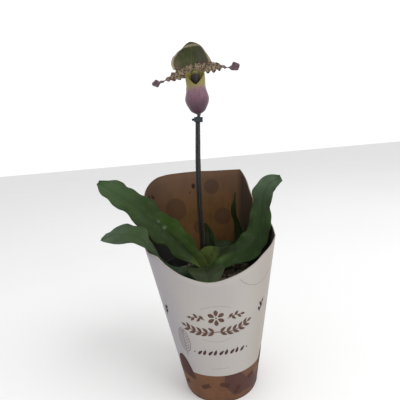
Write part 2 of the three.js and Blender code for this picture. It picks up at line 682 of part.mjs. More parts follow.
// share: from the foot of the pouch (0) to its rim (1).
function pouchPoint(share, angle, inset) {
  const foot = POUCH.foot + inset;
  const radius = Math.max(0.15, smoothValue(POUCH.halfWidths, share) - inset);
  const swing = 1.5 * (1 - share) ** 2; // the foot hangs a little further back
  const z = foot + (pouchRimHeight(angle) - foot) * share;
  const x = 0.2 + radius * Math.cos(angle);
  const y = -9.5 - 2 * share + swing + POUCH.depthShare * radius * Math.sin(angle);
  return [x, y, z];
}

function makePouch() {
  const { sides, rows, wall } = POUCH;
  const points = [];
  const ringOf = (share, inset) => {
    for (let i = 0; i < sides; i++) points.push(pouchPoint(share, (2 * Math.PI * i) / sides, inset));
  };
  for (let k = 1; k <= rows; k++) ringOf(k / rows, 0);
  for (let k = rows; k >= 2; k--) ringOf(k / rows, wall);
  const rings = points.length / sides;
  const triangles = [];
  for (let k = 0; k + 1 < rings; k++) {
    for (let i = 0; i < sides; i++) {
      const j = (i + 1) % sides;
      const [a, b, c, d] = [k * sides + i, k * sides + j, (k + 1) * sides + j, (k + 1) * sides + i];
      triangles.push([a, b, c], [a, c, d]);
    }
  }
  const outerPole = points.length;
  points.push([0.2, -8, POUCH.foot - 0.2]);
  points.push([0.2, -8.4, POUCH.foot + 3]);
  const last = (rings - 1) * sides;
  for (let i = 0; i < sides; i++) {
    const j = (i + 1) % sides;
    triangles.push([outerPole, j, i], [outerPole + 1, last + i, last + j]);
  }
  return pieceOfMaterial('lip_pouch', 0x7d5a6c, 0.5, outwardFacing(geometryFrom(points, triangles)));
}

function makeFlower() {
  const flower = new THREE.Group();
  flower.position.copy(FLOWER);
  const column = columnSolid(0);
  flower.add(pieceOfMaterial('column', 0x76803f, 0.55, toGeometry(column)));
  const parts = [
    ['petal_left', 0x96876f, PETAL_LEFT], ['petal_right', 0x96876f, PETAL_RIGHT],
    ['dorsal_sepal', 0x4c5634, DORSAL_SEPAL], ['synsepal', 0x5c6a3c, SYNSEPAL],
    ['staminode', 0x37252c, STAMINODE],
  ];
  const taken = [columnSolid(CLEARANCE)];
  for (const [name, color, shape] of parts) {
    let solid = toSolid(blade(shape));
    for (const other of taken) solid = solid.subtract(other);
    taken.push(toSolid(blade(shape, CLEARANCE)));
    flower.add(pieceOfMaterial(name, color, 0.6, toGeometry(largestPiece(solid))));
  }
  flower.add(makePouch());
  return flower;
}

function makeOvary() {
  return pieceOfMaterial('ovary', 0x4a4a38, 0.6, tube(OVARY_ROUTE, OVARY_RADIUS, 12, 8));
}

function makeBract() {
  return pieceOfMaterial('floral_bract', 0x5a5c40, 0.6, blade(BRACT));
}

// ---------------------------------------------------------------- the whole plant

const orchid = new THREE.Group();
orchid.add(makePot(), makeBark(), makeSleeve());
orchid.add(makeCrown(), makeStake(), makeScape(), makeClip());
orchid.add(...makeLeaves());
orchid.add(makeOvary(), makeBract(), makeFlower());

export default orchid;
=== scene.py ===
"""Slipper orchid in a nursery pot and a card sleeve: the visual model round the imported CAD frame."""

import math
import random
from math import cos, hypot, pi, radians, sin, sqrt

import bmesh
import bpy
import numpy as np
from mathutils import Matrix, Vector, noise


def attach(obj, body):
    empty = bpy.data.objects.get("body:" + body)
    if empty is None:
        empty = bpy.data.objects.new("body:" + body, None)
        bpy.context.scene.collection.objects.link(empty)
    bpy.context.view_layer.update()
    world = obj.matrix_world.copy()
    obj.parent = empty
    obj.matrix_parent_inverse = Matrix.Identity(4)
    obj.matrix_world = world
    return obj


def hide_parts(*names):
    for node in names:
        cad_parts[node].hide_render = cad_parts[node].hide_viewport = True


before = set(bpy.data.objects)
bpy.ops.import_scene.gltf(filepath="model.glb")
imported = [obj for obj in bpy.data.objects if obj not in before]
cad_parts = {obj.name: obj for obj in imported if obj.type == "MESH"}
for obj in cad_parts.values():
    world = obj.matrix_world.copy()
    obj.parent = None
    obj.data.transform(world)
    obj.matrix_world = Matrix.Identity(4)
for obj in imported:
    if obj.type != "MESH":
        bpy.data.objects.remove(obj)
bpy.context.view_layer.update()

MM = 0.001  # the shapes below are worked out in millimetres

# ------------------------------------------------------------------ colours and node materials


def ink(code):
    """A display colour such as "aba6a3", as the linear values that nodes take."""
    def linear(value):
        return value / 12.92 if value <= 0.04045 else ((value + 0.055) / 1.055) ** 2.4
    return tuple(linear(int(code[k:k + 2], 16) / 255) for k in (0, 2, 4)) + (1.0,)


class Field:
    """A value over a surface: a node's output, with arithmetic that adds further nodes."""

    def __init__(self, look, socket):
        self.look, self.socket = look, socket

    def math(self, operation, other=0.0):
        return self.look.node("Math", {0: self, 1: other}, operation=operation)

    def __add__(self, other):
        return self.math("ADD", other)

    def __sub__(self, other):
        return self.math("SUBTRACT", other)

    def __mul__(self, other):
        return self.math("MULTIPLY", other)

    def __or__(self, other):
        """The larger of two values, so two masks together."""
        return self.math("MAXIMUM", other)

    def __abs__(self):
        return self.math("ABSOLUTE")

    def step(self, low, high, to_low=0.0, to_high=1.0):
        """Runs smoothly from to_low to to_high while the value goes from low to high."""
        ends = {"From Min": low, "From Max": high, "To Min": to_low, "To Max": to_high}
        return self.look.node("MapRange", {"Value": self, **ends}, interpolation_type="SMOOTHSTEP")

    def fade(self, low, high):
        return self.step(low, high, 1.0, 0.0)

    def axes(self):
        """The three numbers of a vector."""
        split = self.look.node("SeparateXYZ", {0: self}).socket.node
        return [Field(self.look, socket) for socket in split.outputs]

    def scaled(self, *scale):
        return self.look.node("Mapping", {"Vector": self, "Scale": scale})

    def noise(self, scale, detail=3.0, roughness=0.5):
        inputs = {"Vector": self, "Scale": scale, "Detail": detail, "Roughness": roughness}
        return self.look.node("TexNoise", inputs)

    def cells(self, scale, jitter=1.0):
        """Distance to the nearest of a scatter of points."""
        inputs = {"Vector": self, "Scale": scale, "Randomness": jitter}
        return self.look.node("TexVoronoi", inputs, "Distance")

    def away(self, point):
        """Distance from a point in millimetres, itself in metres."""
        point = [c * MM for c in point]
        return self.look.node("VectorMath", {0: self, 1: point}, "Value", operation="DISTANCE")

    def ramp(self, *stops):
        """Colours at given positions along the value's way from 0 to 1."""
        made = self.look.node("ValToRGB", {0: self})
        band = made.socket.node.color_ramp
        while len(band.elements) < len(stops):
            band.elements.new(0.5)
        for element, (position, colour) in zip(band.elements, stops):
            element.position, element.color = position, ink(colour)
        return made


class Look:
    """A Principled material whose colour, roughness and relief come from procedural nodes.

    The tone is its colour so far, over which further colours are laid.
    """

    def __init__(self, name, roughness, specular=0.5, sheen=0.0):
        self.material = bpy.data.materials.new(name)
        self.material.use_nodes = True
        self.tree = self.material.node_tree
        self.shader = next(n for n in self.tree.nodes if n.type == "BSDF_PRINCIPLED")
        self.shader.inputs["Roughness"].default_value = roughness
        self.shader.inputs["Specular IOR Level"].default_value = specular
        self.shader.inputs["Sheen Weight"].default_value = sheen

    place = property(lambda self: self.node("TexCoord", {}, "Object"))
    sheet = property(lambda self: self.node("TexCoord", {}, "UV"))

    def node(self, kind, inputs, output=0, **settings):
        made = self.tree.nodes.new("ShaderNode" + kind)
        for key, value in settings.items():
            setattr(made, key, value)
        for key, value in inputs.items():
            self.put(value, made.inputs[key])
        return Field(self, made.outputs[output])

    def put(self, value, socket):
        if isinstance(value, Field):
            self.tree.links.new(value.socket, socket)
        else:
            socket.default_value = ink(value) if isinstance(value, str) else value

    def mix(self, share, a, b):
        return self.node("Mix", {0: share, 6: a, 7: b}, 2, data_type="RGBA")

    def over(self, share, colour):
        self.tone = self.mix(share, self.tone, colour)

    def finish(self, height=None, depth_mm=0.0, strength=1.0, gloss=None):
        """Puts the tone, the roughness and the relief of a height on the shader."""
        self.put(self.tone, self.shader.inputs["Base Color"])
        if gloss:
            self.put(gloss, self.shader.inputs["Roughness"])
        if height:
            bump = self.node("Bump", {"Height": height, "Distance": depth_mm * MM, "Strength": strength})
            self.put(bump, self.shader.inputs["Normal"])
        return self


# ------------------------------------------------------------------ curves and meshes


def smoothstep(value, low, high):
    share = min(1.0, max(0.0, (value - low) / (high - low)))
    return share * share * (3 - 2 * share)


def hermite(p1, p2, t1, t2, w):
    """A point between p1 and p2 on the cubic with these slopes at its ends."""
    return (2 * p1 - 2 * p2 + t1 + t2) * w ** 3 + (-3 * p1 + 3 * p2 - 2 * t1 - t2) * w ** 2 + t1 * w + p1


class Route:
    """A centripetal Catmull-Rom curve through points in millimetres, read by its length."""

    def __init__(self, points):
        self.points = np.array(points, float)
        self.stations = np.linspace(0, 1, 401)
        dense = np.array([self.at(t) for t in self.stations])
        steps = np.linalg.norm(np.diff(dense, axis=0), axis=1)
        self.lengths = np.concatenate([[0], np.cumsum(steps)])
        self.length = self.lengths[-1]

    def at(self, t):
        p = self.points
        last = len(p) - 1
        i = min(int(t * last), last - 1)
        p1, p2 = p[i], p[i + 1]
        p0 = p[i - 1] if i > 0 else 2 * p[0] - p[1]
        p3 = p[i + 2] if i + 2 <= last else 2 * p[last] - p[last - 1]
        d0, d1, d2 = (max(float(np.sum((a - b) ** 2)) ** 0.25, 1e-4)
                      for a, b in ((p0, p1), (p1, p2), (p2, p3)))
        t1 = ((p1 - p0) / d0 - (p2 - p0) / (d0 + d1) + (p2 - p1) / d1) * d1
        t2 = ((p2 - p1) / d1 - (p3 - p1) / (d1 + d2) + (p3 - p2) / d2) * d1
        return hermite(p1, p2, t1, t2, t * last - i)

    def share_at_knot(self, k):
        """Share of the length at which the curve passes one of its points."""
        return float(np.interp(k / (len(self.points) - 1), self.stations, self.lengths)) / self.length

    def point(self, u):
        return self.at(float(np.interp(u * self.length, self.lengths, self.stations)))

    def tangent(self, u):
        ahead = self.point(min(1, u + 0.002)) - self.point(max(0, u - 0.002))
        return ahead / np.linalg.norm(ahead)


def smooth_value(values, t):
    """A value from a list spread evenly over 0 to 1, on a smooth curve through the list."""
    last = len(values) - 1
    i = min(int(t * last), last - 1)
    p0, p1, p2, p3 = (values[max(0, min(last, k))] for k in (i - 1, i, i + 1, i + 2))
    return hermite(p1, p2, (p2 - p0) / 2, (p3 - p1) / 2, t * last - i)


def polar(radius, angle):
    return radius * cos(angle), radius * sin(angle)


def square_off(value, power):
    return math.copysign(abs(value) ** power, value)


def piece(name, points, faces, looks, node=None, uv=None, kinds=None, smooth=True):
    """A mesh piece from points in millimetres, riding on the part's one body.

    looks: one Look or a list, and kinds then gives each face its place in the list. A piece that
    stands for a node is closed, and its faces are turned to the outside.
    """
    mesh = bpy.data.meshes.new(name)
    mesh.from_pydata([tuple(c * MM for c in p) for p in points], [], faces)
    for look in looks if isinstance(looks, list) else [looks]:
        mesh.materials.append(look.material)
    if kinds:
        mesh.polygons.foreach_set("material_index", kinds)
    if uv:
        layer = mesh.uv_layers.new(name="UVMap")
        corners = np.empty(len(mesh.loops), dtype=np.int32)
        mesh.loops.foreach_get("vertex_index", corners)
        layer.data.foreach_set("uv", np.array(uv, dtype=np.float32)[corners].ravel())
    mesh.polygons.foreach_set("use_smooth", [smooth] * len(mesh.polygons))
    mesh.update()
    mesh.validate()
    made = bpy.data.objects.new(name, mesh)
    bpy.context.scene.collection.objects.link(made)
    if node:
        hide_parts(node)
        reshaped(made, lambda shape: bmesh.ops.recalc_face_normals(shape, faces=shape.faces))
    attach(made, "root")
    return made


def reshaped(made, change):
    """Runs a change over an object's mesh as a bmesh."""
    shape = bmesh.new()
    shape.from_mesh(made.data)
    change(shape)
    shape.to_mesh(made.data)
    shape.free()


def smooth_by_angle(made, degrees):
    """Smooth shading, with edges sharper than this kept crisp."""
    def change(shape):
        for face in shape.faces:
            face.smooth = True
        for edge in shape.edges:
            edge.smooth = len(edge.link_faces) == 2 and edge.calc_face_angle(0) < radians(degrees)
    reshaped(made, change)


def grid_faces(rows, columns, start=0, wrap=False):
    """Quads over rows x columns of points laid out row by row."""
    width = columns if wrap else columns + 1
    faces = []
    for i in range(rows):
        low = start + i * width
        for j in range(columns):
            k = (j + 1) % width
            faces.append((low + j, low + k, low + width + k, low + width + j))
    return faces


def capped(rows, sides, start=0):
    """Faces of a tube of rings of points, closed at both ends."""
    last = start + rows * sides
    return grid_faces(rows, sides, start, wrap=True) + [
        tuple(range(start + sides - 1, start - 1, -1)), tuple(range(last, last + sides))]


def turned(profile, sides, x=0.0, y=0.0, wobble=lambda angle, z: 0):
    """Points and faces of a shape turned round a vertical line.

    The profile gives (radius, height) from the middle of the foot to the middle of the top.
    """
    points = []
    for radius, z in profile[1:-1]:
        for i in range(sides):
            angle = 2 * pi * i / sides
            across, along = polar(radius + wobble(angle, z), angle)
            points.append((x + across, y + along, z))
    rings = len(profile) - 3
    faces = grid_faces(rings, sides, wrap=True)
    for (_, z), at, turn in ((profile[0], 0, 1), (profile[-1], rings * sides, 0)):
        faces += [(len(points), at + (i + turn) % sides, at + (i + 1 - turn) % sides) for i in range(sides)]
        points.append((x, y, z))
    return points, faces


def tube(route, radius, steps, sides):
    """Points, faces and UVs of a tube; radius is a function of the share of length and the angle."""
    up = np.array([0.0, 1.0, 0.0])
    points, uv = [], []
    for i in range(steps + 1):
        u = i / steps
        centre, along = route.point(u), route.tangent(u)
        up = up - along * np.dot(up, along)
        up /= np.linalg.norm(up)
        side = np.cross(along, up)
        for j in range(sides):
            angle = 2 * pi * j / sides
            points.append(centre + radius(u, angle) * (cos(angle) * side + sin(angle) * up))
            uv.append((u, j / sides))
    return points, capped(steps, sides), uv


# ------------------------------------------------------------------ blades: leaves, sepals, petals

SIDE_LAG = 1.9  # radians by which the waves of one margin trail those of the other
LOBE_LAG = 1.1
LEAST_HALF_WIDTH = 0.5
LEAST_THICKNESS = 0.14
SHEATH_ROWS = 16
CLASP_DEG = 42  # how much further the margins rise round the crown
CLASP_END = 0.13  # share of the length at which a leaf has opened out


def blade(shape, rows, columns, detail=None, push=None):
    """A blade along the spine, with rows of columns, a smooth rise and thin margins.

    foot: a sheath that runs on below the spine to this point and clasps what stands in it.
    reaches: half widths on either side, half: one list for both, rounded off at the tip.
    lobes: how many round lobes each margin has, and lobe_depth what share of the width they take.
    detail(u, v) gives a further rise in millimetres, push(u, v) a shift as a vector. Returns
    points, faces, UVs and the two margins as lists of (point, outward direction, upward direction).
    """
    get = shape.get
    foot = get("foot")
    route = Route(([foot] if foot else []) + shape["spine"])
    begin = route.share_at_knot(1) if foot else 0.0
    sheath_rows = SHEATH_ROWS if foot else 0
    facing = np.array(shape["facing"], float)
    top, bottom, uv = [], [], []
    margins = ([], [])
    for i in range(-sheath_rows, rows + 1):
        share = 1 - (1 - i / rows) ** get("crowding", 1.35) if i > 0 else 0.0
        below = -i / sheath_rows if i < 0 else 0.0
        whole = begin * (1 - below) if i < 0 else begin + (1 - begin) * share
        u = (whole - begin) / (1 - begin)
        centre, along = route.point(whole), route.tangent(whole)
        look = np.array([smooth_value(facing[:, k], share) for k in range(3)])
        angle = radians(get("keel", 0)) * (1 - 0.5 * share)
        if foot:
            clasp = 1 - smoothstep(u, -begin, CLASP_END)
            look += (np.array(shape["foot_facing"]) - look) * clasp
            angle += radians(CLASP_DEG) * clasp
        normal = look - along * np.dot(look, along)
        normal /= np.linalg.norm(normal)
        side = np.cross(along, normal)
        rounding = sqrt(max(0.0, 1 - share ** get("tip", 6)))
        if "reaches" in shape:
            halves = [smooth_value(reach, share) for reach in shape["reaches"]]
        else:
            halves = [smooth_value(shape["half"], share) * rounding] * 2
        halves = [max(LEAST_HALF_WIDTH, half) for half in halves]
        if foot:
            halves = [half + (shape["foot_half"] - half) * smoothstep(below, 0, 1) for half in halves]
        lobed = smoothstep(share, 0.0, 0.06) * (1 - smoothstep(share, 0.6, 0.68))
        for j in range(columns + 1):
            v = 2 * j / columns - 1
            swing = 2 * pi * get("waves", 0) * share + get("phase", 0) + (SIDE_LAG if v > 0 else 0)
            reach = v * halves[v > 0]
            if "lobes" in shape:
                lag = get("phase", 0) + (LOBE_LAG if v > 0 else 0)
                bump = abs(sin(pi * shape["lobes"] * share + lag))
                reach *= 1 - shape["lobe_depth"] * (1 - bump ** 0.7) * lobed * v * v
            rise = (abs(reach) * sin(angle) + get("cup", 0) * rounding * v * v
                    + get("ripple", 0) * v * v * smoothstep(share, 0, 0.25) * sin(swing))
            if detail:
                rise += detail(share, v)
            point = centre + side * reach * cos(angle) + normal * rise
            if push:
                point += push(share, v)
            thinned = sqrt(1 - 0.96 * v ** 4) * (1 - 0.7 * share ** 16)
            thick = max(LEAST_THICKNESS, get("thickness", 1.3) * thinned) / 2
            top.append(point + normal * thick)
            bottom.append(point - normal * thick)
            uv.append((u, j / columns))
            if j in (0, columns):
                margins[j > 0].append((point, side * math.copysign(1, v), normal))
    count = len(top)
    rows += sheath_rows
    width = columns + 1
    faces = grid_faces(rows, columns)
    faces += [(d + count, c + count, b + count, a + count) for a, b, c, d in faces]
    rims = [(i * width + j, (i + 1) * width + j, j > 0) for i in range(rows) for j in (0, columns)]
    rims += [(i * width + j, i * width + j + 1, i == 0) for j in range(columns) for i in (0, rows)]
    for a, b, flip in rims:
        quad = (a, b, b + count, a + count)
        faces.append(quad[::-1] if flip else quad)
    return top + bottom, faces, uv + uv, margins


def blade_piece(name, node, slot, look, placed, *shape):
    """A blade as a piece, its points run through placed; returns its margins."""
    points, faces, uv, margins = blade(*shape)
    piece(name, placed(points), faces, look, node, uv)
    return margins


def spikes(name, roots, look):
    """Fine three-sided hairs: each root is (point, direction, length, thickness at the foot)."""
    points, faces = [], []
    for point, direction, length, thick in roots:
        along = np.array(direction, float)
        along /= np.linalg.norm(along)
        across = np.cross(along, [0.3, 0.2, 1.0])
        across /= np.linalg.norm(across)
        other = np.cross(along, across)
        k = len(points)
        for turn in (2 * pi * side / 3 for side in range(3)):
            points.append(point + thick * (cos(turn) * across + sin(turn) * other))
        points.append(point + along * length)
        faces += [(k, k + 1, k + 3), (k + 1, k + 2, k + 3), (k + 2, k, k + 3), (k + 2, k + 1, k)]
    piece(name, points, faces, look)


def hair_roots(draw, count, route, radius, lean, shortest, thick):
    """Roots of hairs scattered over a stem, up to half a millimetre longer than the shortest."""
    roots = []
    for _ in range(count):
        u, turn = draw.random(), 2 * pi * draw.random()
        direction = np.array([cos(turn), sin(turn), lean * (draw.random() - 0.3)])
        length = shortest + 0.5 * draw.random()
        roots.append((route.point(u) + direction * radius, direction, length, thick))
    return roots


# ------------------------------------------------------------------ card sleeve

SLEEVE_LEVEL = 138
SLEEVE_LEVEL_RADIUS = 60
SLEEVE_TAPER = 0.18
CARD = 0.7
CREASE_DEGREES = (-12, 192)
CREASE_PROUD = 0.7
CREASE_REACH_DEG = 8
SEAM = (40.2, 52.2)
SLEEVE_CORNER_DEG = 56
BAND_TOP = 31  # height of the brown print round the foot
SLEEVE_TOP_EDGE = [
    (-160, 11), (-141, 10.5), (-130, 4), (-114, -4.5), (-92, -10), (-72, -6.5), (-54, -0.5),
    (-40, 6), (-22, 10.4), (-5, 14.4), (9, 18.8), (25, 27), (38, 37), (44, 47), (50, 62),
    (SLEEVE_CORNER_DEG, 71.7), (78, 71.8), (100, 73), (120, 73), (133, 71.6), (141, 68.5),
    (148, 64), (155, 57), (160, 44), (170, 26), (180, 16), (190, 12.5),
]


def sleeve_radius(z):
    return SLEEVE_LEVEL_RADIUS + (z - SLEEVE_LEVEL) * SLEEVE_TAPER


def sleeve_top(angle):
    """Height of the sleeve's top edge, on a monotone curve with one sharp corner."""
    edge = SLEEVE_TOP_EDGE
    count = len(edge)

    def at(i):
        x, y = edge[i % count]
        return x + 360 * (i // count), y

    def slope(i, straight):
        before, middle, after = at(i - 1), at(i), at(i + 1)
        if middle[0] == SLEEVE_CORNER_DEG:
            return straight
        left = (middle[1] - before[1]) / (middle[0] - before[0])
        right = (after[1] - middle[1]) / (after[0] - middle[0])
        return 0.0 if left * right <= 0 else 2 * left * right / (left + right)

    k = max(i for i in range(count) if edge[i][0] <= angle)
    p1, p2 = at(k), at(k + 1)
    span = p2[0] - p1[0]
    straight = (p2[1] - p1[1]) / span
    ends = [span * slope(i, straight) for i in (k, k + 1)]
    return SLEEVE_LEVEL + hermite(p1[1], p2[1], *ends, (angle - p1[0]) / span)


def crease_bulge(angle):
    nearest = min(abs(angle - crease) for crease in CREASE_DEGREES)
    return CREASE_PROUD * max(0, 1 - nearest / CREASE_REACH_DEG)


def on_sleeve(angle, z, lift=0.0):
    """A point on the outside of the sleeve, lifted off it."""
    return (*polar(sleeve_radius(z) + crease_bulge(angle) + lift, radians(angle)), z)


def round_sleeve(angle):
    """Where an angle lies on the sleeve's UV map, from 0 to 1."""
    return (angle - SLEEVE_TOP_EDGE[0][0]) / 360


def card_outside():
    look = Look("card_outside", 0.6, 0.2)
    place = look.place
    height = place.axes()[2]
    u = look.sheet.axes()[0]
    white = look.mix(place.noise(22, 2).step(0.3, 0.7), "aba6a3", "afaaa4")
    # Painted shade: the card is darker and warmer from the front round to the right and back, and darker
    # and cooler on the left.
    white = look.mix(u.step(0.26, 0.36), white, "a39b94")
    left_painted_shade = u.fade(0.02, 0.16) | u.step(0.9, 0.995)
    white = look.mix(left_painted_shade, white, "9a969a")
    brown = look.mix(place.noise(60, 5, 0.65).step(0.38, 0.6), "6d482f", "62412c")
    blobs = place.scaled(1, 1, 1.3).noise(30, 0.5, 0.2).step(0.585, 0.6)
    brown = look.mix(blobs * 0.85, brown, "472c2a")
    edge = height + place.noise(25, 1) * 0.0008
    in_band = edge.fade((BAND_TOP + 0.2) * MM, (BAND_TOP + 0.6) * MM)
    look.tone = look.mix(in_band, white, brown)
    left, right = (abs(u - round_sleeve(crease)).fade(0.0012, 0.0026) for crease in CREASE_DEGREES)
    look.over((left | right) * place.noise(180, 3).step(0.35, 0.6, 0.25, 0.8), "c2beb9")
    grain = place.noise(900, 4)
    return look.finish(grain, 0.04, 0.5, grain.step(0.3, 0.7, 0.5, 0.64))


def card_inside():
    """Brown print: kraft-like on the tall back, nearly black past the glued overlap, with painted light and
    painted shade laid over it.
    """
    look = Look("card_inside", 0.7, 0.1)
    place = look.place
    height = place.axes()[2]
    u = look.sheet.axes()[0]

    def between(low, high, *values):
        return u.step(round_sleeve(low), round_sleeve(high), *values)

    look.tone = look.mix(place.noise(24, 4, 0.6).step(0.35, 0.65), "4e361b", "5b4022")
    streaks = place.scaled(1, 1, 0.12).noise(260, 3, 0.6)
    look.over(streaks.step(0.45, 0.7, 0.0, 0.35), "412d1a")
    # Painted light: the inside grows greyer and lighter towards the top, where light falls in from above.
    look.over(height.step(0.165, 0.205, 0.0, 0.6), "5c483e")
    # Painted shade: darker round the left part of the back, which lies in shadow.
    look.over(between(126, 150, 0.0, 0.6), "423229")
    spots = None
    for angle, z, radius in ((122, 171, 13), (84, 192, 9), (100, 148, 7), (146, 160, 8), (74, 158, 10)):
        spot = place.away(on_sleeve(angle, z)).fade((radius - 1.2) * MM, (radius + 0.6) * MM)
        spots = spots | spot if spots else spot
    look.over(spots * 0.5, "33231e")
    specks = place.scaled(1, 1, 0.7).cells(90).fade(0.16, 0.24)
    look.over(specks * place.noise(34, 1).step(0.56, 0.6), "2c1c15")
    # Past the glued overlap: a near-black print that also stands in for painted shade on the inside of the
    # right wall, bluish black from the right round the front.
    look.over(between(53, 60, 1.0, 0.0), look.mix(between(20, 38), "343637", "3a2f25"))
    # Painted shade low on the back left, where the leaves shade the inside.
    look.over(between(114, 140) * height.fade(0.136, 0.172), "252622")
    fine = place.noise(500, 4)
    return look.finish(fine, 0.04, 0.5, fine.step(0.3, 0.7, 0.62, 0.75))


def card_edge():
    look = Look("card_edge", 0.85)
    fibre = look.place.scaled(1, 1, 6).noise(1500, 3)
    look.tone = fibre.ramp((0.3, "8e8377"), (0.7, "b1a99f"))
    return look.finish(fibre, 0.05)


OUTSIDE, INSIDE, EDGE = range(3)


def make_sleeve():
    rows = 26
    angles = sorted([*range(-160, 200), *SEAM, SEAM[0] + 0.02, SEAM[1] - 0.02])
    width = 2 * (rows + 1)
    points, uv = [], []
    for angle in angles:
        top = sleeve_top(angle)
        inner = 2 * CARD if SEAM[0] < angle < SEAM[1] else CARD
        turn = radians(angle)
        for k in range(width):
            z = top * min(k, width - 1 - k) / rows
            ripple = 0.18 * noise.noise((3 * cos(turn), 3 * sin(turn), z / 40)) + 0.18
            radius = sleeve_radius(z) + crease_bulge(angle) + ripple * smoothstep(z, 125, 150)
            points.append((*polar(radius - (0 if k <= rows else inner), turn), z))
            uv.append((round_sleeve(angle), z / 220))
    faces, kinds = [], []
    count = len(angles)
    for i in range(count):
        j = (i + 1) % count
        for k in range(width):
            n = (k + 1) % width
            faces.append((i * width + k, j * width + k, j * width + n, i * width + n))
            at_edge = k in (rows, width - 1) or k > rows and abs(angles[i] - angles[j]) < 0.1
            kinds.append(EDGE if at_edge else INSIDE if k > rows else OUTSIDE)
    made = piece("sleeve", points, faces, [card_outside(), card_inside(), card_edge()], "card_sleeve",
                 uv, kinds, smooth=False)
    for polygon in made.data.polygons:
        polygon.use_smooth = polygon.material_index != EDGE


# Printed motifs: thin shapes laid on the outside of the sleeve.

PRINT_LIFT = 0.07


class Print:
    """Gathers flat shapes in millimetres across and up, wrapped round the sleeve at an angle."""

    def __init__(self, angle, height):
        self.angle, self.height = angle, height
        self.points, self.faces = [], []

    def wrap(self, across, up):
        z = self.height + up
        return on_sleeve(self.angle + math.degrees(across / sleeve_radius(z)), z, PRINT_LIFT)

    def ribbon(self, centres, halves, columns=4):
        """A band along a middle line, of changing half width."""
        start = len(self.points)
        last = len(centres) - 1
        for i, ((x, y), half) in enumerate(zip(centres, halves)):
            before, after = centres[max(0, i - 1)], centres[min(last, i + 1)]
            dx, dy = after[0] - before[0], after[1] - before[1]
            run = hypot(dx, dy) or 1
            for j in range(columns + 1):
                reach = half * (2 * j / columns - 1)
                self.points.append(self.wrap(x - dy / run * reach, y + dx / run * reach))
        self.faces += grid_faces(last, columns, start)

    def leaf(self, x, y, heading, length, half, bend=0.0, widest=0.8, blunt=0.9):
        count = 12
        centres, halves = [], []
        for t in (i / count for i in range(count + 1)):
            across, up = polar(length * t, radians(heading + bend * t))
            centres.append((x + across, y + up))
            halves.append(max(0.03, half * sin(pi * t ** widest) ** blunt))
        self.ribbon(centres, halves)

    def stalk(self, points, half):
        route = Route([(x, y, 0) for x, y in points])
        count = 24
        self.ribbon([tuple(route.point(i / count)[:2]) for i in range(count + 1)], [half] * (count + 1), 2)

    def dot(self, x, y, radius):
        self.leaf(x - radius, y, 0, 2 * radius, radius)

    def finish(self, name, look):
        piece("print_" + name, self.points, self.faces, look)


def printing_ink(name, light, dark):
    look = Look("ink_" + name, 0.7, 0.1)
    look.tone = look.place.noise(260, 4, 0.7).ramp((0.32, dark), (0.62, light))
    return look.finish()


def flower_branch(brown):
    """A flower between two sprigs, over a long garland."""
    branch = Print(-90.5, 88)
    for heading in range(30, 390, 60):
        across, up = polar(1.7, radians(heading))
        branch.leaf(across, 5.5 + up, heading, 6.2, 1.9, 0, 1.3, 0.6)
    branch.dot(0, 5.5, 0.8)
    for flip in (-1, 1):
        outward = 90 - 90 * flip
        branch.stalk([(10 * flip, 4), (15.5 * flip, 6), (22 * flip, 5.6)], 0.35)
        for x, y, side in ((11.5, 4.8, 1), (14, 5.6, -1), (16.8, 6.1, 1), (19.4, 6, -1)):
            branch.leaf(x * flip, y, outward + 55 * side * flip, 5, 1.25, -10 * side * flip)
        branch.leaf(22 * flip, 5.6, outward, 4.6, 1.2)
        sweep = [(0, -8.6), (11 * flip, -9.4), (21 * flip, -7.8), (29 * flip, -4)]
        branch.stalk(sweep, 0.4)
        route = Route([(x, y, 0) for x, y in sweep])
        for i in range(5):
            x, y, _ = route.point((i + 0.55) / 5.4)
            for side in (-1, 1):
                branch.leaf(x, y, outward + (6 + 4 * i + 52 * side) * flip, 6.8, 1.45, -14 * side * flip)
        branch.leaf(28.6 * flip, -4.2, outward + 24 * flip, 5.4, 1.3)
    branch.finish("branch", brown)


def dotted_arcs(soft):
    arcs = Print(-90.5, 88)
    for height, sag in ((17, -2.4), (-19, 2.4)):
        for k in range(-6, 7):
            arcs.dot(2.1 * k, height + sag * (k / 6) ** 2, 0.42)
    for k in range(-4, 5):
        arcs.dot(1.9 * k, -48.5, 0.4)
    arcs.finish("dots", soft)


def leaf_row(plum):
    row = Print(-88, 57)
    for k in range(-4, 5):
        row.leaf(4.9 * k - 1.6, -2.6, 58, 6.4, 1.35, 10 if k % 2 else -10)
    for flip in (-1, 1):
        row.dot(24.6 * flip, 0, 0.8)
    row.finish("leaf_row", plum)


def skeleton_leaf(soft):
    """An oval leaf drawn with its veins."""
    leaf = Print(-131, 67)
    half_wide, half_tall = 6.4, 12.5
    outline = [(half_wide * sin(t) * (1 - 0.12 * cos(t)), half_tall * cos(t))
               for t in (2 * pi * k / 40 for k in range(41))]
    leaf.ribbon(outline, [0.35] * 41, 2)
    leaf.stalk([(0, -17), (0, 0), (0, 11)], 0.4)
    for y in range(-9, 12, 3):
        wide = half_wide * sqrt(max(0.0, 1 - ((y + 2) / half_tall) ** 2))
        for flip in (-1, 1):
            leaf.stalk([(0, y - 1.2), (0.5 * wide * flip, y + 0.6), (0.86 * wide * flip, y + 2.4)], 0.28)
            leaf.dot(0.62 * wide * flip, y - 0.5, 0.5)
            leaf.dot(0.3 * wide * flip, y + 1.6, 0.4)
    leaf.finish("skeleton_leaf", soft)


def small_sprigs(dark):
    for name, angle in (("sprig_right", -38), ("sprig_left", -151)):
        sprig = Print(angle, 92)
        sprig.stalk([(-1.5, -5), (0, 0), (1.5, 4)], 0.4)
        for x, y, lean in ((-1.1, -3.6, 128), (-0.6, -2, 46), (0.4, 0.8, 126), (1.1, 2.4, 54)):
            sprig.leaf(x, y, lean, 5.2, 1.35)
        sprig.finish(name, dark)


def ring_print(faint):
    ring = Print(-45, 145)
    turns = [radians(128 + 2 * k) for k in range(52)]
    ring.ribbon([(28 * sin(t) - 1, 28 * cos(t)) for t in turns], [0.2] * len(turns), 1)
    ring.finish("ring", faint)


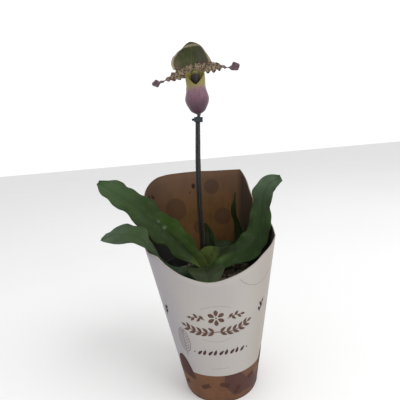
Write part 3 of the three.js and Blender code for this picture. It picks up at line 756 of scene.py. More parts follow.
def foot_print(plum, band):
    """Smooth hills that rise out of the brown foot, and darker sprigs on it."""
    hills = Print(-90, BAND_TOP)
    sunk = 8.2
    for centre, wide, tall in ((58, 30, 17), (76, 22, 26), (-41, 31, 24), (-78, 26, 12), (-104, 34, 22),
                               (150, 40, 18), (-164, 30, 14)):
        count, rows = 28, 10
        start = len(hills.points)
        for i in range(count + 1):
            x = centre + wide * (i / count - 0.5)
            top = tall * sin(pi * i / count) ** 0.8 - 8
            hills.points += [hills.wrap(x, -sunk + (top + sunk) * j / rows) for j in range(rows + 1)]
        hills.faces += grid_faces(count, rows, start)
    hills.finish("hills", plum)
    sprigs = Print(-90, 15)
    for x, y, turn in ((-16, 2, 28), (2, 5, -20), (14, -3, 60), (30, 6, 10), (-40, -2, 35), (-66, 4, -30),
                       (62, 0, 20), (96, 4, 50), (-108, 0, 15), (134, 2, -25), (-140, 3, 40)):
        def away(a, b):
            c, s = polar(1, radians(turn))
            return x + a * c - b * s, y + a * s + b * c
        sprigs.stalk([away(-5, 0), away(0, 0.6), away(5, 0)], 0.22)
        for k in range(4):
            for side in (-1, 1):
                sprigs.leaf(*away(-3.6 + 2.2 * k, 0.3), turn + side * 52, 3.4, 0.9)
    sprigs.finish("band_sprigs", band)


def make_prints():
    soft = printing_ink("soft", "807476", "6c6064")
    flower_branch(printing_ink("brown", "624c44", "544038"))
    dotted_arcs(soft)
    leaf_row(printing_ink("plum", "4c3838", "402e2f"))
    skeleton_leaf(soft)
    small_sprigs(printing_ink("dark", "3c3432", "322b2a"))
    ring_print(printing_ink("faint", "8a847e", "807a75"))
    foot_print(printing_ink("hill", "4c3432", "422c2b"),
               printing_ink("band", "4c3228", "442c24"))


# ------------------------------------------------------------------ pot and bark

POT_HEIGHT = 123
POT_RIM_BAND = 9
POT_RIM_PROUD = 2.2
POT_WALL = 1.2
POT_FLOOR = 1.6
FOOT_STEP = 1.2
GAP = 0.3
BARK_LEVEL = 109
BARK_RISE = 3
BARK_EDGE = 51
GOLDEN_ANGLE = 2.39996
pot_rim = sleeve_radius(POT_HEIGHT) - 2 * CARD - GAP - 0.1
pot_base = sleeve_radius(0) - 2 * CARD - GAP - 0.3
band_foot = POT_HEIGHT - POT_RIM_BAND
wall_top = sleeve_radius(band_foot) - 2 * CARD - GAP - POT_RIM_PROUD


def pot_inside(z):
    share = (z - POT_FLOOR) / (band_foot - POT_FLOOR)
    return pot_base + (wall_top - pot_base) * share - POT_WALL


def pot_look():
    look = Look("pot_plastic", 0.42, 0.45)
    place = look.place
    dust = place.noise(70, 5, 0.7)
    look.tone = dust.ramp((0.35, "18181a"), (0.62, "252424"), (0.8, "36312c"))
    return look.finish(place.noise(1400, 2), 0.03, 0.5, dust.step(0.4, 0.75, 0.34, 0.7))


def make_pot():
    drains, drain_radius, drain_circle, drain_depth = 6, 3.6, 21, 12
    # both turns keep the cut off the edges of the pot's own mesh, so that it meets none exactly
    drain_turn, drill_turn = 0.013, 0.05
    bend = 0.62
    profile = [
        (0, 0), (12, 0), (13, FOOT_STEP), (pot_base - 6, FOOT_STEP), (pot_base - 5, 0),
        (pot_base - 0.8, 0), (pot_base, 0.8), (pot_base + (wall_top - pot_base) * bend, band_foot * bend),
        (wall_top, band_foot), (pot_rim - 1.4, band_foot + 0.8), (pot_rim - 0.7, band_foot + 1.3),
        (pot_rim, POT_HEIGHT - 1.4), (pot_rim - 0.15, POT_HEIGHT - 0.5), (pot_rim - 0.7, POT_HEIGHT),
        (pot_rim - 3.4, POT_HEIGHT), (pot_rim - 4.0, POT_HEIGHT - 0.5), (pot_rim - 4.2, POT_HEIGHT - 1.6),
        (wall_top - POT_WALL, band_foot - 1), (pot_inside(POT_FLOOR + 3), POT_FLOOR + 3),
        (pot_inside(POT_FLOOR) - 2, POT_FLOOR + FOOT_STEP), (0, POT_FLOOR + FOOT_STEP),
    ]
    points, faces = turned(profile, 144)
    made = piece("pot", points, faces, pot_look(), "nursery_pot", smooth=False)
    drills = []
    for i in range(drains):
        x, y = polar(drain_circle * MM, 2 * pi * (i + 0.5) / drains + drain_turn)
        bpy.ops.mesh.primitive_cylinder_add(
            vertices=32, radius=drain_radius * MM, depth=drain_depth * MM,
            rotation=(0, 0, drill_turn), location=(x, y, 2 * MM))
        drills.append(bpy.context.object)
        cut = made.modifiers.new("drain", "BOOLEAN")
        cut.object, cut.operation, cut.solver = drills[-1], "DIFFERENCE", "EXACT"
    graph = bpy.context.evaluated_depsgraph_get()
    drilled = bpy.data.meshes.new_from_object(made.evaluated_get(graph))
    made.modifiers.clear()
    made.data = drilled
    for drill in drills:
        bpy.data.objects.remove(drill)
    smooth_by_angle(made, 35)


def bark_surface(radius):
    return BARK_LEVEL + BARK_RISE * (1 - (radius / BARK_EDGE) ** 2)


def bark_look():
    look = Look("bark", 0.9, 0.15)
    place = look.place
    grain = place.scaled(1, 1, 4).noise(700, 6, 0.7)
    look.tone = place.noise(95, 2, 0.4).ramp(
        (0.3, "565146"), (0.5, "635c4d"), (0.68, "756a57"))
    look.over(grain.step(0.35, 0.65, 0.0, 0.5), "4e4a41")
    return look.finish(grain, 0.35, 0.6)


def make_bark():
    """A low mound with a few hundred broken chips lying on it in all directions."""
    draw = random.Random(41)
    foot = POT_FLOOR + FOOT_STEP + GAP
    profile = [(0, foot), (pot_inside(foot) - 3, foot), (pot_inside(8) - 0.5, 8),
               (pot_inside(BARK_LEVEL - 1) - 0.5, BARK_LEVEL - 1)]
    profile += [(r, bark_surface(r) - 0.5) for r in (46, 38, 30, 22, 14, 7, 0.01)]
    points, faces = turned(profile, 64)
    chips, rings, sides = 300, 5, 10
    for i in range(chips):
        turn = i * GOLDEN_ANGLE + 0.6 * draw.random()
        length = 5 + 8 * draw.random()
        sizes = (length / 2, (3 + 4 * draw.random()) / 2, (1.8 + 2.4 * draw.random()) / 2)
        reach = min(47 * sqrt((i + 0.5) / chips), pot_inside(BARK_LEVEL) - 0.5 * length - 0.6)
        centre = Vector((*polar(reach, turn), bark_surface(reach) - 0.4 + 1.6 * draw.random()))
        spin = Matrix.Rotation(6.3 * draw.random(), 3, "Z")
        for axis in "YX":
            spin = spin @ Matrix.Rotation(0.9 * (draw.random() - 0.5), 3, axis)
        seed = Vector((i * 1.7, i * 0.9, 4.2))
        faces += capped(rings - 1, sides, len(points))
        for k in range(rings * sides):
            along = pi * (k // sides + 0.5) / rings
            corner = Vector((cos(along) * 1.1, *polar(sin(along), 2 * pi * (k % sides) / sides)))
            boxy = Vector([square_off(c, 0.55) for c in corner])
            boxy *= 1 + 0.28 * noise.noise(corner * 2.2 + seed)
            points.append(centre + spin @ Vector([b * s for b, s in zip(boxy, sizes)]))
    piece("bark", points, faces, bark_look(), "potting_bark", smooth=False)


# ------------------------------------------------------------------ crown, stem, stake and clip

CROWN = {"x": -8.5, "y": -3, "foot": 98, "top": 125, "foot_radius": 5.4, "top_radius": 4.2}
PAIR_ROUTE = [(-8.2, 2, 131), (-7.2, 2, 150), (-6.8, 2, 180), (-4.8, 2, 222), (-1.5, 2, 262)]
PAIR_SPREAD = (0, 0.25, 0.4, 0.3, 0)  # how far stem and stake part between crown and clip
SCAPE_RADIUS = 1.3
STAKE_RADIUS = 1.15
SCAPE_SHIFT = (0.9, -0.7)
STAKE_SHIFT = (-1.0, 1.0)
STAKE_FOOT = 22
STAKE_TOP = 266.5
SCAPE_TOP = 268
CLIP = {"z": 263.6, "height": 4.4, "wall": 0.7, "grip": 2.2, "tab": 2.2, "tab_height": 2.5, "tilt": 4.5}
# Stem and stake are painted darker low among the leaves as painted shade, and lighter above as painted
# light.
ROD_SHADE_FADE = (0.185, 0.245)  # heights in metres between which stem and stake grow lighter


def plastic_look(name, light, dark, roughness, upper=None):
    """upper: the two lighter tones of a rod where it stands free of the leaves, painted light; the darker
    tones below are painted shade among the leaves.
    """
    look = Look(name, roughness, 0.15)
    place = look.place
    blotches = place.noise(240, 4)
    look.tone = blotches.ramp((0.35, dark), (0.65, light))
    if upper:
        look.over(place.axes()[2].step(*ROD_SHADE_FADE), blotches.ramp((0.35, upper[1]), (0.65, upper[0])))
    gloss = place.noise(600, 2).step(0.3, 0.7, roughness - 0.06, roughness + 0.1)
    return look.finish(place.scaled(1, 1, 0.15).noise(2200, 2), 0.04, 0.4, gloss)


def stem_look():
    look = Look("stem_skin", 0.6, 0.1, 0.05)
    place = look.place
    streaks = place.scaled(1, 1, 0.12).noise(1500, 3)
    flecks = place.noise(380, 3, 0.6).step(0.42, 0.6)
    low = look.mix(flecks, "1c1917", "27231e")
    high = look.mix(flecks, "38363a", "444143")
    # Painted shade low among the leaves, painted light where the stem stands free.
    look.tone = look.mix(place.axes()[2].step(*ROD_SHADE_FADE), low, high)
    look.over(streaks.step(0.5, 0.7, 0.0, 0.4), "221b1f")
    return look.finish(streaks, 0.12, 0.6)


def hair_look():
    look = Look("hair", 0.6, 0.2)
    look.tone = look.place.noise(900, 1).ramp((0.4, "3b3331"), (0.6, "595049"))
    return look.finish()


def shifted(route, shift, spread):
    return [(x + shift[0] + apart, y + shift[1], z) for (x, y, z), apart in zip(route, spread)]


def make_crown(green):
    foot, top, wide, narrow = (CROWN[key] for key in ("foot", "top", "foot_radius", "top_radius"))
    profile = [(0, foot), (wide - 1, foot), (wide, foot + 1)]
    profile += [(wide - 0.25 * k, foot + 1 + 4 * k) for k in range(1, 6)]
    profile += [(narrow, top - 1.5), (narrow - 0.9, top), (0, top)]
    points, faces = turned(profile, 40, CROWN["x"], CROWN["y"],
                           lambda angle, z: 0.25 * sin(5 * angle + z / 9) - 0.25)
    piece("crown_stem", points, faces, green, "crown")


def make_stems(hairs):
    def swell(u, angle):
        return SCAPE_RADIUS * (1 + 0.06 * sin(3 * angle) + 0.05 * sin(40 * u))

    def blunt(u, angle):
        return STAKE_RADIUS * (1 - 0.6 * smoothstep(u, 0.997, 1.0))

    upper = shifted(PAIR_ROUTE, SCAPE_SHIFT, PAIR_SPREAD)
    scape = Route([(-7.6, -0.6, CROWN["top"] + GAP), *upper, (-0.2, 1.4, SCAPE_TOP)])
    points, faces, uv = tube(scape, swell, 150, 20)
    piece("flower_stem", points, faces, stem_look(), "scape", uv)
    roots = hair_roots(random.Random(7), 1500, scape, SCAPE_RADIUS * 0.95, 0.25, 0.35, 0.035)
    spikes("stem_hairs", roots, hairs)

    upper = shifted(PAIR_ROUTE, STAKE_SHIFT, [-apart for apart in PAIR_SPREAD])
    last = (upper[-1][0] + 0.4, upper[-1][1], STAKE_TOP)
    stake = Route([(-11, 8.5, STAKE_FOOT), (-10.8, 7.4, 90), (-10.4, 4.6, 118), *upper, last])
    points, faces, uv = tube(stake, blunt, 160, 20)
    look = plastic_look("stake_plastic", "21211f", "171716", 0.45,
                        ("404546", "353a3b"))
    piece("stake", points, faces, look, "support_stake", uv)


def rounded_ring(x0, x1, y0, y1, radius):
    """Points round a rectangle with rounded corners."""
    corners = ((x1 - radius, y0 + radius, -90), (x1 - radius, y1 - radius, 0),
               (x0 + radius, y1 - radius, 90), (x0 + radius, y0 + radius, 180))
    turns = ((x, y, polar(radius, radians(first + 15 * k))) for x, y, first in corners for k in range(7))
    return [(x + across, y + along) for x, y, (across, along) in turns]


def make_clip():
    """A collar round the stem and the stake, with rounded corners, a lever and a pinch line."""
    slack, corner = GAP + 0.1, 0.9
    left, right = STAKE_SHIFT[0] - STAKE_RADIUS - slack, SCAPE_SHIFT[0] + SCAPE_RADIUS + slack
    front, back = SCAPE_SHIFT[1] - SCAPE_RADIUS - slack, STAKE_SHIFT[1] + STAKE_RADIUS + slack
    wall, half, tall = CLIP["wall"], CLIP["height"] / 2, CLIP["tab_height"] / 2
    outer = rounded_ring(left - wall, right + CLIP["grip"], front - wall, back + wall, corner)
    inner = rounded_ring(left, right, front, back, corner)
    middle = np.array([(left + right) / 2 + 0.4, (front + back) / 2])

    def outer_less(by):
        return [np.array(p) - (p - middle) / hypot(*(p - middle)) * by for p in outer]

    levels = [(inner, -half), (outer_less(0.35), -half), (outer_less(0.1), -half + 0.12),
              (outer, -half + 0.4), (outer, -0.3), (outer_less(0.16), -0.12), (outer_less(0.16), 0.12),
              (outer, 0.3), (outer, half - 0.4), (outer_less(0.1), half - 0.12),
              (outer_less(0.35), half), (inner, half)]
    points = [(x, y, z) for loop, z in levels for x, y in loop]
    sides = len(outer)
    last = len(points) - sides
    faces = grid_faces(len(levels) - 1, sides, wrap=True)
    faces += [(last + k, last + (k + 1) % sides, (k + 1) % sides, k) for k in range(sides)]

    stations, sides = 12, 16
    faces += capped(stations, sides, len(points))
    tab_left, tab_right = left - wall - CLIP["tab"], left - wall + 0.25
    for i in range(stations + 1):
        t = i / stations
        x = tab_left + (tab_right - tab_left) * t
        grow = sin(pi / 2 * min(1, 0.12 + 3 * t)) * (1 - 0.12 * sin(pi * t))
        for k in range(sides):
            across, up = polar(1, 2 * pi * k / sides)
            points.append((x, 0.9 * grow * square_off(across, 0.5), tall * grow * square_off(up, 0.5)))
    tilt = Matrix.Rotation(radians(CLIP["tilt"]), 3, "Y")
    home = Vector((*PAIR_ROUTE[-1][:2], CLIP["z"]))
    look = plastic_look("clip_plastic", "3e444a", "2e3439", 0.4)
    placed = [tilt @ Vector(p) + home for p in points]
    made = piece("clip", placed, faces, look, "stake_clip")
    smooth_by_angle(made, 40)


# ------------------------------------------------------------------ leaves

LEAF_KEEL_DEG = 20
LEAVES = {
    "leaf_left_upper": {
        "foot": (-12.4, -3.4, 110), "foot_facing": (1, -0.5, 0.1), "foot_half": 6.5,
        "spine": [(-12, -6, 125), (-26, -5, 144), (-46, 0, 164), (-65.5, 4, 182.5), (-85, 9, 198),
                  (-105, 12, 212.3)],
        "facing": [(0.2, -0.85, 0.5), (0.3, -0.8, 0.5), (0.35, -0.75, 0.55), (0.3, -0.75, 0.6)],
        "reaches": [[6, 7, 9, 12.3, 15, 13, 11.8, 16, 17.3, 15.5, 15.4, 15.3, 15.6, 13.6, 11.8, 12.8, 14,
                     12.2, 10.2, 7.2, 2.6],
                    [5.5, 7, 8, 10.9, 12.5, 13.2, 15.3, 15.3, 13.5, 14.8, 13.4, 13.9, 14.9, 16, 14.2, 12.9,
                     11.2, 14.5, 13.5, 6.1, 1.8]],
        "ripple": 2.6, "waves": 5, "phase": 0.4,
    },
    "leaf_right_upper": {
        "foot": (-4.8, -4.2, 111), "foot_facing": (-0.8, -0.35, 0.4), "foot_half": 6.5,
        "spine": [(-4, -6, 123.5), (12, -6, 128), (30, -2, 132), (46, 7, 144), (53, 14, 163),
                  (57.5, 18, 184), (65, 19, 196), (76.4, 17, 200.7)],
        "facing": [(0, -0.6, 0.8), (-0.1, -0.7, 0.7), (-0.4, -0.85, 0.3), (-0.3, -0.95, 0.1),
                   (-0.2, -0.9, 0.3)],
        "reaches": [[9.5, 9.6, 10, 11, 11.5, 12, 13.2, 13.8, 13.8, 12.9, 12.2, 11.4, 10.5, 11, 10.2, 9.1,
                     12.1, 10.4, 9.6, 6.7, 3.2],
                    [9, 9.5, 10.6, 11.1, 8.6, 9.4, 13.6, 14.9, 12.4, 13, 12.2, 13.4, 12, 10.7, 8.8, 9.9,
                     9.6, 8.4, 8.6, 7.3, 3.4]],
        "ripple": 2, "waves": 5, "phase": 1.2,
    },
    "leaf_centre_small": {
        "foot": (-6.4, -0.4, 110), "foot_facing": (-0.3, -1, 0), "foot_half": 3.5,
        "spine": [(-5, 2, 121), (0, 7, 138), (0.5, 10, 150), (-3.5, 12, 163)],
        "facing": [(-0.2, -0.9, 0.2), (-0.2, -0.9, 0), (-0.1, -0.9, 0.2)],
        "half": [3.5, 5.8, 6.5, 5.5], "ripple": 0.4, "waves": 2, "phase": 0, "tip": 2,
    },
    "leaf_left_lower": {
        "foot": (-13, -5.4, 104), "foot_facing": (1, 0.3, 0.2), "foot_half": 6,
        "spine": [(-11, -8, 117.5), (-20, -14, 119), (-29.5, -20, 122.5), (-38.6, -25, 130),
                  (-46.5, -26.5, 139.5), (-52.5, -25.5, 149), (-58.5, -24, 157.5), (-65, -21.5, 162),
                  (-74.6, -18, 164.4), (-86, -15, 165), (-102, -12, 160)],
        "facing": [(0.2, -0.5, 0.8), (0.3, -0.45, 0.8), (0.65, -0.2, 0.7), (0.15, -0.6, 0.8),
                   (0, -0.6, 0.8)],
        "reaches": [[5, 5.8, 7.4, 9.3, 10.7, 11.4, 12, 11.4, 8.7, 7.6, 7.4, 7.2, 8.8, 11, 16.2, 16, 13.8,
                     11.6, 9.6, 6.4, 2],
                    [7, 9.5, 9, 7.6, 7.3, 7.6, 6.2, 3.5, 1.8, 2.8, 7, 7.3, 5.4, 11, 11, 11.5, 12.6, 8.2,
                     3.4, 4.2, 3.8]],
        "ripple": 1.8, "waves": 4, "phase": 2.2,
    },
    "leaf_back_narrow": {
        "foot": (-5, -1.6, 106), "foot_facing": (-0.8, -0.4, 0.3), "foot_half": 5,
        "spine": [(-4, 1, 119), (15, 13, 128), (32, 22, 139), (31.5, 26, 154), (28.5, 29, 172),
                  (31.5, 30, 189)],
        "facing": [(-0.3, -0.5, 0.8), (-0.7, -0.5, 0.5), (-0.9, -0.45, 0), (-0.9, -0.5, 0.2)],
        "half": [5, 7, 9, 9, 7.5, 5], "ripple": 0.8, "waves": 4, "phase": 0.6, "tip": 2.5,
    },
    "leaf_back_low": {
        "foot": (-5, -2.2, 104), "foot_facing": (-0.8, -0.4, 0.4), "foot_half": 5,
        "spine": [(-4, -1, 117.5), (8, 9, 129), (20, 17, 135), (34, 24, 133)],
        "facing": [(0, -0.6, 0.8), (0, -0.6, 0.8), (0.1, -0.5, 0.85)],
        "reaches": [[5.4, 5.4, 5.8, 7, 8.5, 10.5, 12.5, 14, 15, 15.3, 15, 14, 12, 9.4, 6.5, 5, 4.5, 4, 3.5,
                     2.5, 0.5],
                    [5, 5, 5.5, 6.3, 7, 7.5, 7.7, 7.6, 7.8, 8.2, 8.7, 8.9, 8.6, 8, 7.3, 6.8, 6.3, 5.8, 4.7,
                     3.2, 0.5]],
        "ripple": 1, "waves": 3, "phase": 1,
    },
    "leaf_front": {
        "foot": (-8.5, -6.6, 103), "foot_facing": (0, 1, 0.3), "foot_half": 5.5,
        "spine": [(-8.5, -8, 116.5), (-6, -24, 125), (-4.5, -37, 126), (-4, -49, 120.5)],
        "facing": [(0, -0.2, 1), (0, -0.3, 1), (0, -0.5, 0.85)],
        "reaches": [[5.5, 5.8, 6.4, 7.5, 9, 10.6, 12.2, 13.6, 14.7, 15.7, 16.5, 17, 17.2, 16.8, 16, 14.4,
                     12.6, 11, 9, 6.6, 1],
                    [5, 5.4, 6, 7.2, 9.6, 12.6, 15, 16.6, 17.6, 18.2, 18.4, 18.2, 17.6, 16.6, 15.4, 13.8,
                     12, 10, 8.3, 5.5, 1]],
        "ripple": 1.2, "waves": 3, "phase": 0.5,
    },
}

FOLD = {"from": 0.25, "slope": -6.2, "lift": (1.2, -0.5, 8.5), "groove": 1.0, "width": 0.1}


def fold_line(u):
    """Where the fold at the foot of the right leaf lies across it, from -1 to 1."""
    return FOLD["from"] + FOLD["slope"] * u


def leaf_look(name, along, shade, bright, lit_flank=None, folded=False, glint_spots=()):
    """Fleshy leaf: colours along its length, partly painted light and shade, faint lengthwise veins,
    mottled, slightly shiny.

    lit_flank: a fresher green near the foot, painted light on the flank that faces the light.
    scars: middles and radii of small painted highlights.
    """
    look = Look(name, 0.46, 0.08)
    place, sheet = look.place, look.sheet
    u, v, _ = sheet.axes()
    across = abs(v - 0.5)
    look.tone = u.ramp(*along)
    if lit_flank:
        # Painted light on the flank that faces the light, near the foot.
        look.over(v.step(0.45, 0.75) * u.step(0.06, 0.16) * u.step(0.4, 0.62, 0.85, 0.0), lit_flank)
        # Painted shade in the valley along the midrib, near the foot.
        valley_shade = u.step(0.07, 0.12) * u.step(0.2, 0.4, 0.7, 0.0) * across.fade(0.02, 0.16)
        look.over(valley_shade, "18240f")
    if folded:
        past = v - (u * (FOLD["slope"] / 2) + (FOLD["from"] + 1) / 2)
        # Painted light: a lighter band just below the fold, where the flank catches the light.
        below = past.step(0.0, 0.03) * past.fade(0.15, 0.5)
        look.over(below * u.step(0.04, 0.12) * u.step(0.2, 0.28, 0.9, 0.0), "465a32")
        # Painted shade in the hollow at the end of the fold.
        hollow_shade = u.step(0.1, 0.15) * u.step(0.25, 0.33, 0.85, 0.0) * v.fade(0.18, 0.4)
        look.over(hollow_shade, "181e0e")
        # Above the fold the flank is yellow-green near the foot, then dark with stripes; the dark is
        # painted shade along the fold.
        stripes = sheet.scaled(22, 3, 1).noise(1.0, 2).step(0.42, 0.6, 0.0, 0.6)
        flank = look.mix(u.step(0.05, 0.13), "465224", "202812")
        flank = look.mix(stripes, flank, "242e14")
        look.over(past.fade(-0.02, 0.0) * u.fade(0.16, 0.22), flank)
    cloud = place.noise(48)
    look.over(cloud.step(0.36, 0.66, 0.0, 0.4), shade)
    look.over(sheet.scaled(8, 3, 1).noise(2.0).step(0.52, 0.7, 0.0, 0.35), bright)
    veins = sheet.scaled(1.6, 60, 1).noise(1.0, 2)
    look.over(veins.step(0.5, 0.68, 0.0, 0.28), shade)
    look.over(across.fade(0.005, 0.02) * 0.4, shade)
    look.over(across.step(0.487, 0.498) * 0.4, bright)
    fine = place.noise(420, 3, 0.6)
    # Painted highlights: small pale glints on the upper left leaf.
    for point, radius in glint_spots:
        glint = place.away(point).fade(0.3 * radius * MM, radius * MM)
        look.over(glint * fine.step(0.4, 0.6, 0.2, 0.8), "687864")
    return look.finish(veins * 0.7 + cloud * 0.7, 0.45, 0.5, fine.step(0.3, 0.7, 0.4, 0.54))


LEAF_GLINTS = (((-50.4, 0.0, 173.8), 2.6), ((-48.0, 0.0, 171.8), 3.4), ((-42.6, -1.0, 165.2), 3.2))


def leaf_looks():
    # The stops along each leaf are partly its own green and partly painted light and shade: darker low in
    # the sleeve as painted shade, lighter towards the tips as painted light, and on the upper and lower
    # leaves lifted at the very foot as painted light where the crown shades it.
    upper = leaf_look(
        "leaf_upper", ((0.0, "5c6a36"), (0.1, "2b3917"), (0.3, "223012"),
                       (0.5, "2e3e20"), (0.72, "394a2b"), (0.95, "43583a")),
        "202d14", "3d512e", lit_flank="2b420f", glint_spots=LEAF_GLINTS)
    right = leaf_look(
        "leaf_folded", ((0.0, "2a3516"), (0.1, "2c3d1c"), (0.24, "283a1c"),
                        (0.36, "243417"), (0.62, "2c3d1f"), (0.8, "41503a"),
                        (0.95, "546750")),
        "1c2a12", "384a29", folded=True)
    lower = leaf_look(
        "leaf_lower", ((0.0, "546444"), (0.12, "384430"), (0.25, "2c3a2c"),
                       (0.38, "2d392f"), (0.52, "384530"), (0.7, "3c4d2f"),
                       (0.95, "546450")),
        "222e1e", "445638")
    # Painted shade: the front leaf is darker towards its foot, under the upper left leaf.
    dull = leaf_look(
        "leaf_dull", ((0.0, "2a321e"), (0.5, "323b25"), (1.0, "3c442e")),
        "282e20", "424436")
    # Painted shade: a darker copy of the leaf colours for the leaves at the back, in the sleeve's shade.
    shaded_leaf = leaf_look(
        "leaf_shaded", ((0.0, "202c10"), (0.5, "19240d"), (1.0, "202810")),
        "101a09", "2a3618")
    return {"leaf_left_upper": upper, "leaf_right_upper": right, "leaf_left_lower": lower,
            "leaf_front": dull, "leaf_centre_small": shaded_leaf, "leaf_back_narrow": shaded_leaf, "leaf_back_low": shaded_leaf}


def leaf_detail(seed, name):
    """Shallow lengthwise puckers, a groove along the midrib, and what is special at the foot."""
    def rise(u, v):
        groove = -0.35 * math.exp(-(v / 0.06) ** 2)
        pucker = 0.45 * noise.noise((u * 7 + seed, v * 2.2, seed * 3.1)) * (1 - v * v * 0.3)
        veins = 0.07 * cos(v * 30) * (1 - abs(v))
        own = 0.0
        if name == "leaf_right_upper":
            own = -FOLD["groove"] * math.exp(-((fold_line(u) - v) / FOLD["width"]) ** 2)
        elif name == "leaf_left_upper":
            own = 3.5 * max(0.0, v) * (1 - smoothstep(u, 0.02, 0.16))
        return (groove + pucker + veins) * smoothstep(u, 0, 0.15) + own
    return rise


def leaf_push(name):
    """The flank above the fold stands up; the front leaf arches where it leaves the crown."""
    def arch(u, v):
        lift = 4.2 * smoothstep(u, -0.1, 0.06) * (1 - smoothstep(u, 0.1, 0.4))
        return np.array([0, 0, lift * (1 - 0.7 * v * v)])

    def stand_up(u, v):
        return np.array(FOLD["lift"]) * max(0.0, fold_line(u) - v)

    return {"leaf_right_upper": stand_up, "leaf_front": arch}.get(name)


def make_leaves(looks):
    rows, columns = 120, 32
    for number, (name, own) in enumerate(LEAVES.items()):
        shape = {"keel": LEAF_KEEL_DEG, **own}
        blade_piece(name + "_blade", name, "leaf", looks[name], list,
                    shape, rows, columns, leaf_detail(number, name), leaf_push(name))


# ------------------------------------------------------------------ flower

FLOWER = (-0.5, -6, 304.5)

DORSAL_SEPAL = {
    "spine": [(-2.2, 0.5, 1.2), (-2.2, 3, 7.6), (-1.6, 3.8, 15), (-1.4, 2.2, 21), (-1.9, -1, 25.4)],
    "facing": [(0, -1, 0.1), (0, -1, 0.1), (0, -1, -0.3)],
    "half": [16.4, 17.8, 17.2, 15.4, 14.4, 14], "thickness": 0.8, "cup": 5, "tip": 3,
}
SYNSEPAL = {
    "spine": [(0, 1.5, -3.4), (-0.3, 3.4, -12), (-0.5, 3.2, -22), (-0.6, 0, -30)],
    "facing": [(0, -1, 0), (0, -1, 0), (0, -1, 0.4)],
    "half": [4, 8.5, 9, 6], "thickness": 0.8, "cup": 2, "tip": 3,
}
PETAL = {"thickness": 0.8, "waves": 7.6, "ripple": 1.1, "lobes": 8.5, "lobe_depth": 0.42, "tip": 9,
         "crowding": 1.1}
PETAL_LEFT = {
    **PETAL,
    "spine": [(-0.4, -2.6, 3.2), (-4, -3, 1.4), (-9, -3.6, -0.4), (-15, -4, -2), (-22, -3, -4),
              (-28.6, -2, -5.8), (-32, -1.5, -6.8), (-35, -1, -7), (-38.8, -1, -7)],
    "facing": [(0, -1, 0.4), (0, -1, 0.3), (0, -0.9, 0.5), (0, -1, 0)],
    "half": [5.6, 6, 5.8, 5.4, 4.7, 3.4, 1.1, 0.8, 3.7, 3.4], "phase": 0.5,
}
PETAL_RIGHT = {
    **PETAL,
    "spine": [(0.4, -2.6, 2.8), (4, -3, 2.5), (9, -3.6, 2.3), (15.5, -4, 2.2), (23.5, -3, 1.8),
              (28.2, -2, 1.2), (31, -1.5, 0.5), (34.8, -1, 0.9), (40, -1, 3)],
    "facing": [(0, -1, 0.4), (0, -1, 0.3), (0, -0.9, 0.5), (0, -1, 0)],
    "half": [5.6, 6, 5.6, 5.4, 5, 3.4, 0.8, 0.8, 4.8, 4.2], "phase": 2.1,
}
STAMINODE = {
    "spine": [(0.2, -9, -1.2), (0.2, -11, -5.8), (0.2, -12.4, -10.6), (0.2, -12.6, -15)],
    "facing": [(0, -1, 0.3), (0, -1, 0), (0, -1, -0.2)],
    "half": [2.5, 3.7, 3.5, 1.2], "thickness": 1.4, "cup": -1.2, "tip": 5,
}
BRACT = {
    "spine": [(0, 3.2, 266.6), (0.2, 5, 269), (0.3, 8, 275), (0.4, 9.2, 284)],
    "facing": [(0, -1, 0.2), (0, -1, 0.3), (0, -1, 0.3)],
    "half": [1.4, 4, 3], "thickness": 0.7, "keel": 24, "tip": 2.5,
}
POUCH = {
    "halves": [0.2, 5.7, 8, 9.7, 10.5, 9.9, 8.9, 8.3, 8.4, 8.5, 8.4], "depth": 0.86, "lobe": 8,
    "back": 8.5, "wall": 0.8, "foot": -38.6, "rim": -12.5,
}
OVARY_RADIUS = 1.9
OVARY_ROUTE = [(-0.2, 1.5, 268.3), (0.3, 4.4, 278), (0, 4.6, 290), (-0.4, -1.5, 302)]
COLUMN_RADIUS = 3


def in_flower(points):
    return [tuple(c + home for c, home in zip(p, FLOWER)) for p in points]


def sepal_look():
    """Dark olive with a cream margin, a pale midline and darker veins."""
    look = Look("sepal", 0.6, 0.15, 0.05)
    place, sheet = look.place, look.sheet
    u, v, _ = sheet.axes()
    across = abs(v - 0.5)
    look.tone = look.mix(place.noise(160, 4, 0.6).step(0.35, 0.65), "3c4024", "484c2d")
    fan = sheet.scaled(1.2, 26, 1).noise(1.0, 1, 0.4)
    look.over(fan.step(0.5, 0.62, 0.0, 0.4), "323224")
    look.over(u.step(0.0, 0.22, 0.75, 0.0), "5c522e")
    look.over(across.step(0.2, 0.4, 0.0, 0.7) * u.step(0.2, 0.5, 1.0, 0.2), "54463c")
    look.over(v.step(0.52, 0.8, 0.0, 0.55), "4e4b42")
    look.over(across.step(0.008, 0.035, 0.35, 0.0), "555734")
    wobble = (place.noise(90, 2) - 0.5) * 0.05
    side = (across + wobble).step(0.425, 0.465)
    tip = u + wobble * 0.5
    end = tip.step(0.83, 0.875) * tip.fade(0.915, 0.95)
    look.over(side | end, look.mix(fan, "8c806c", "989276"))
    return look.finish(fan, 0.5, 0.5)


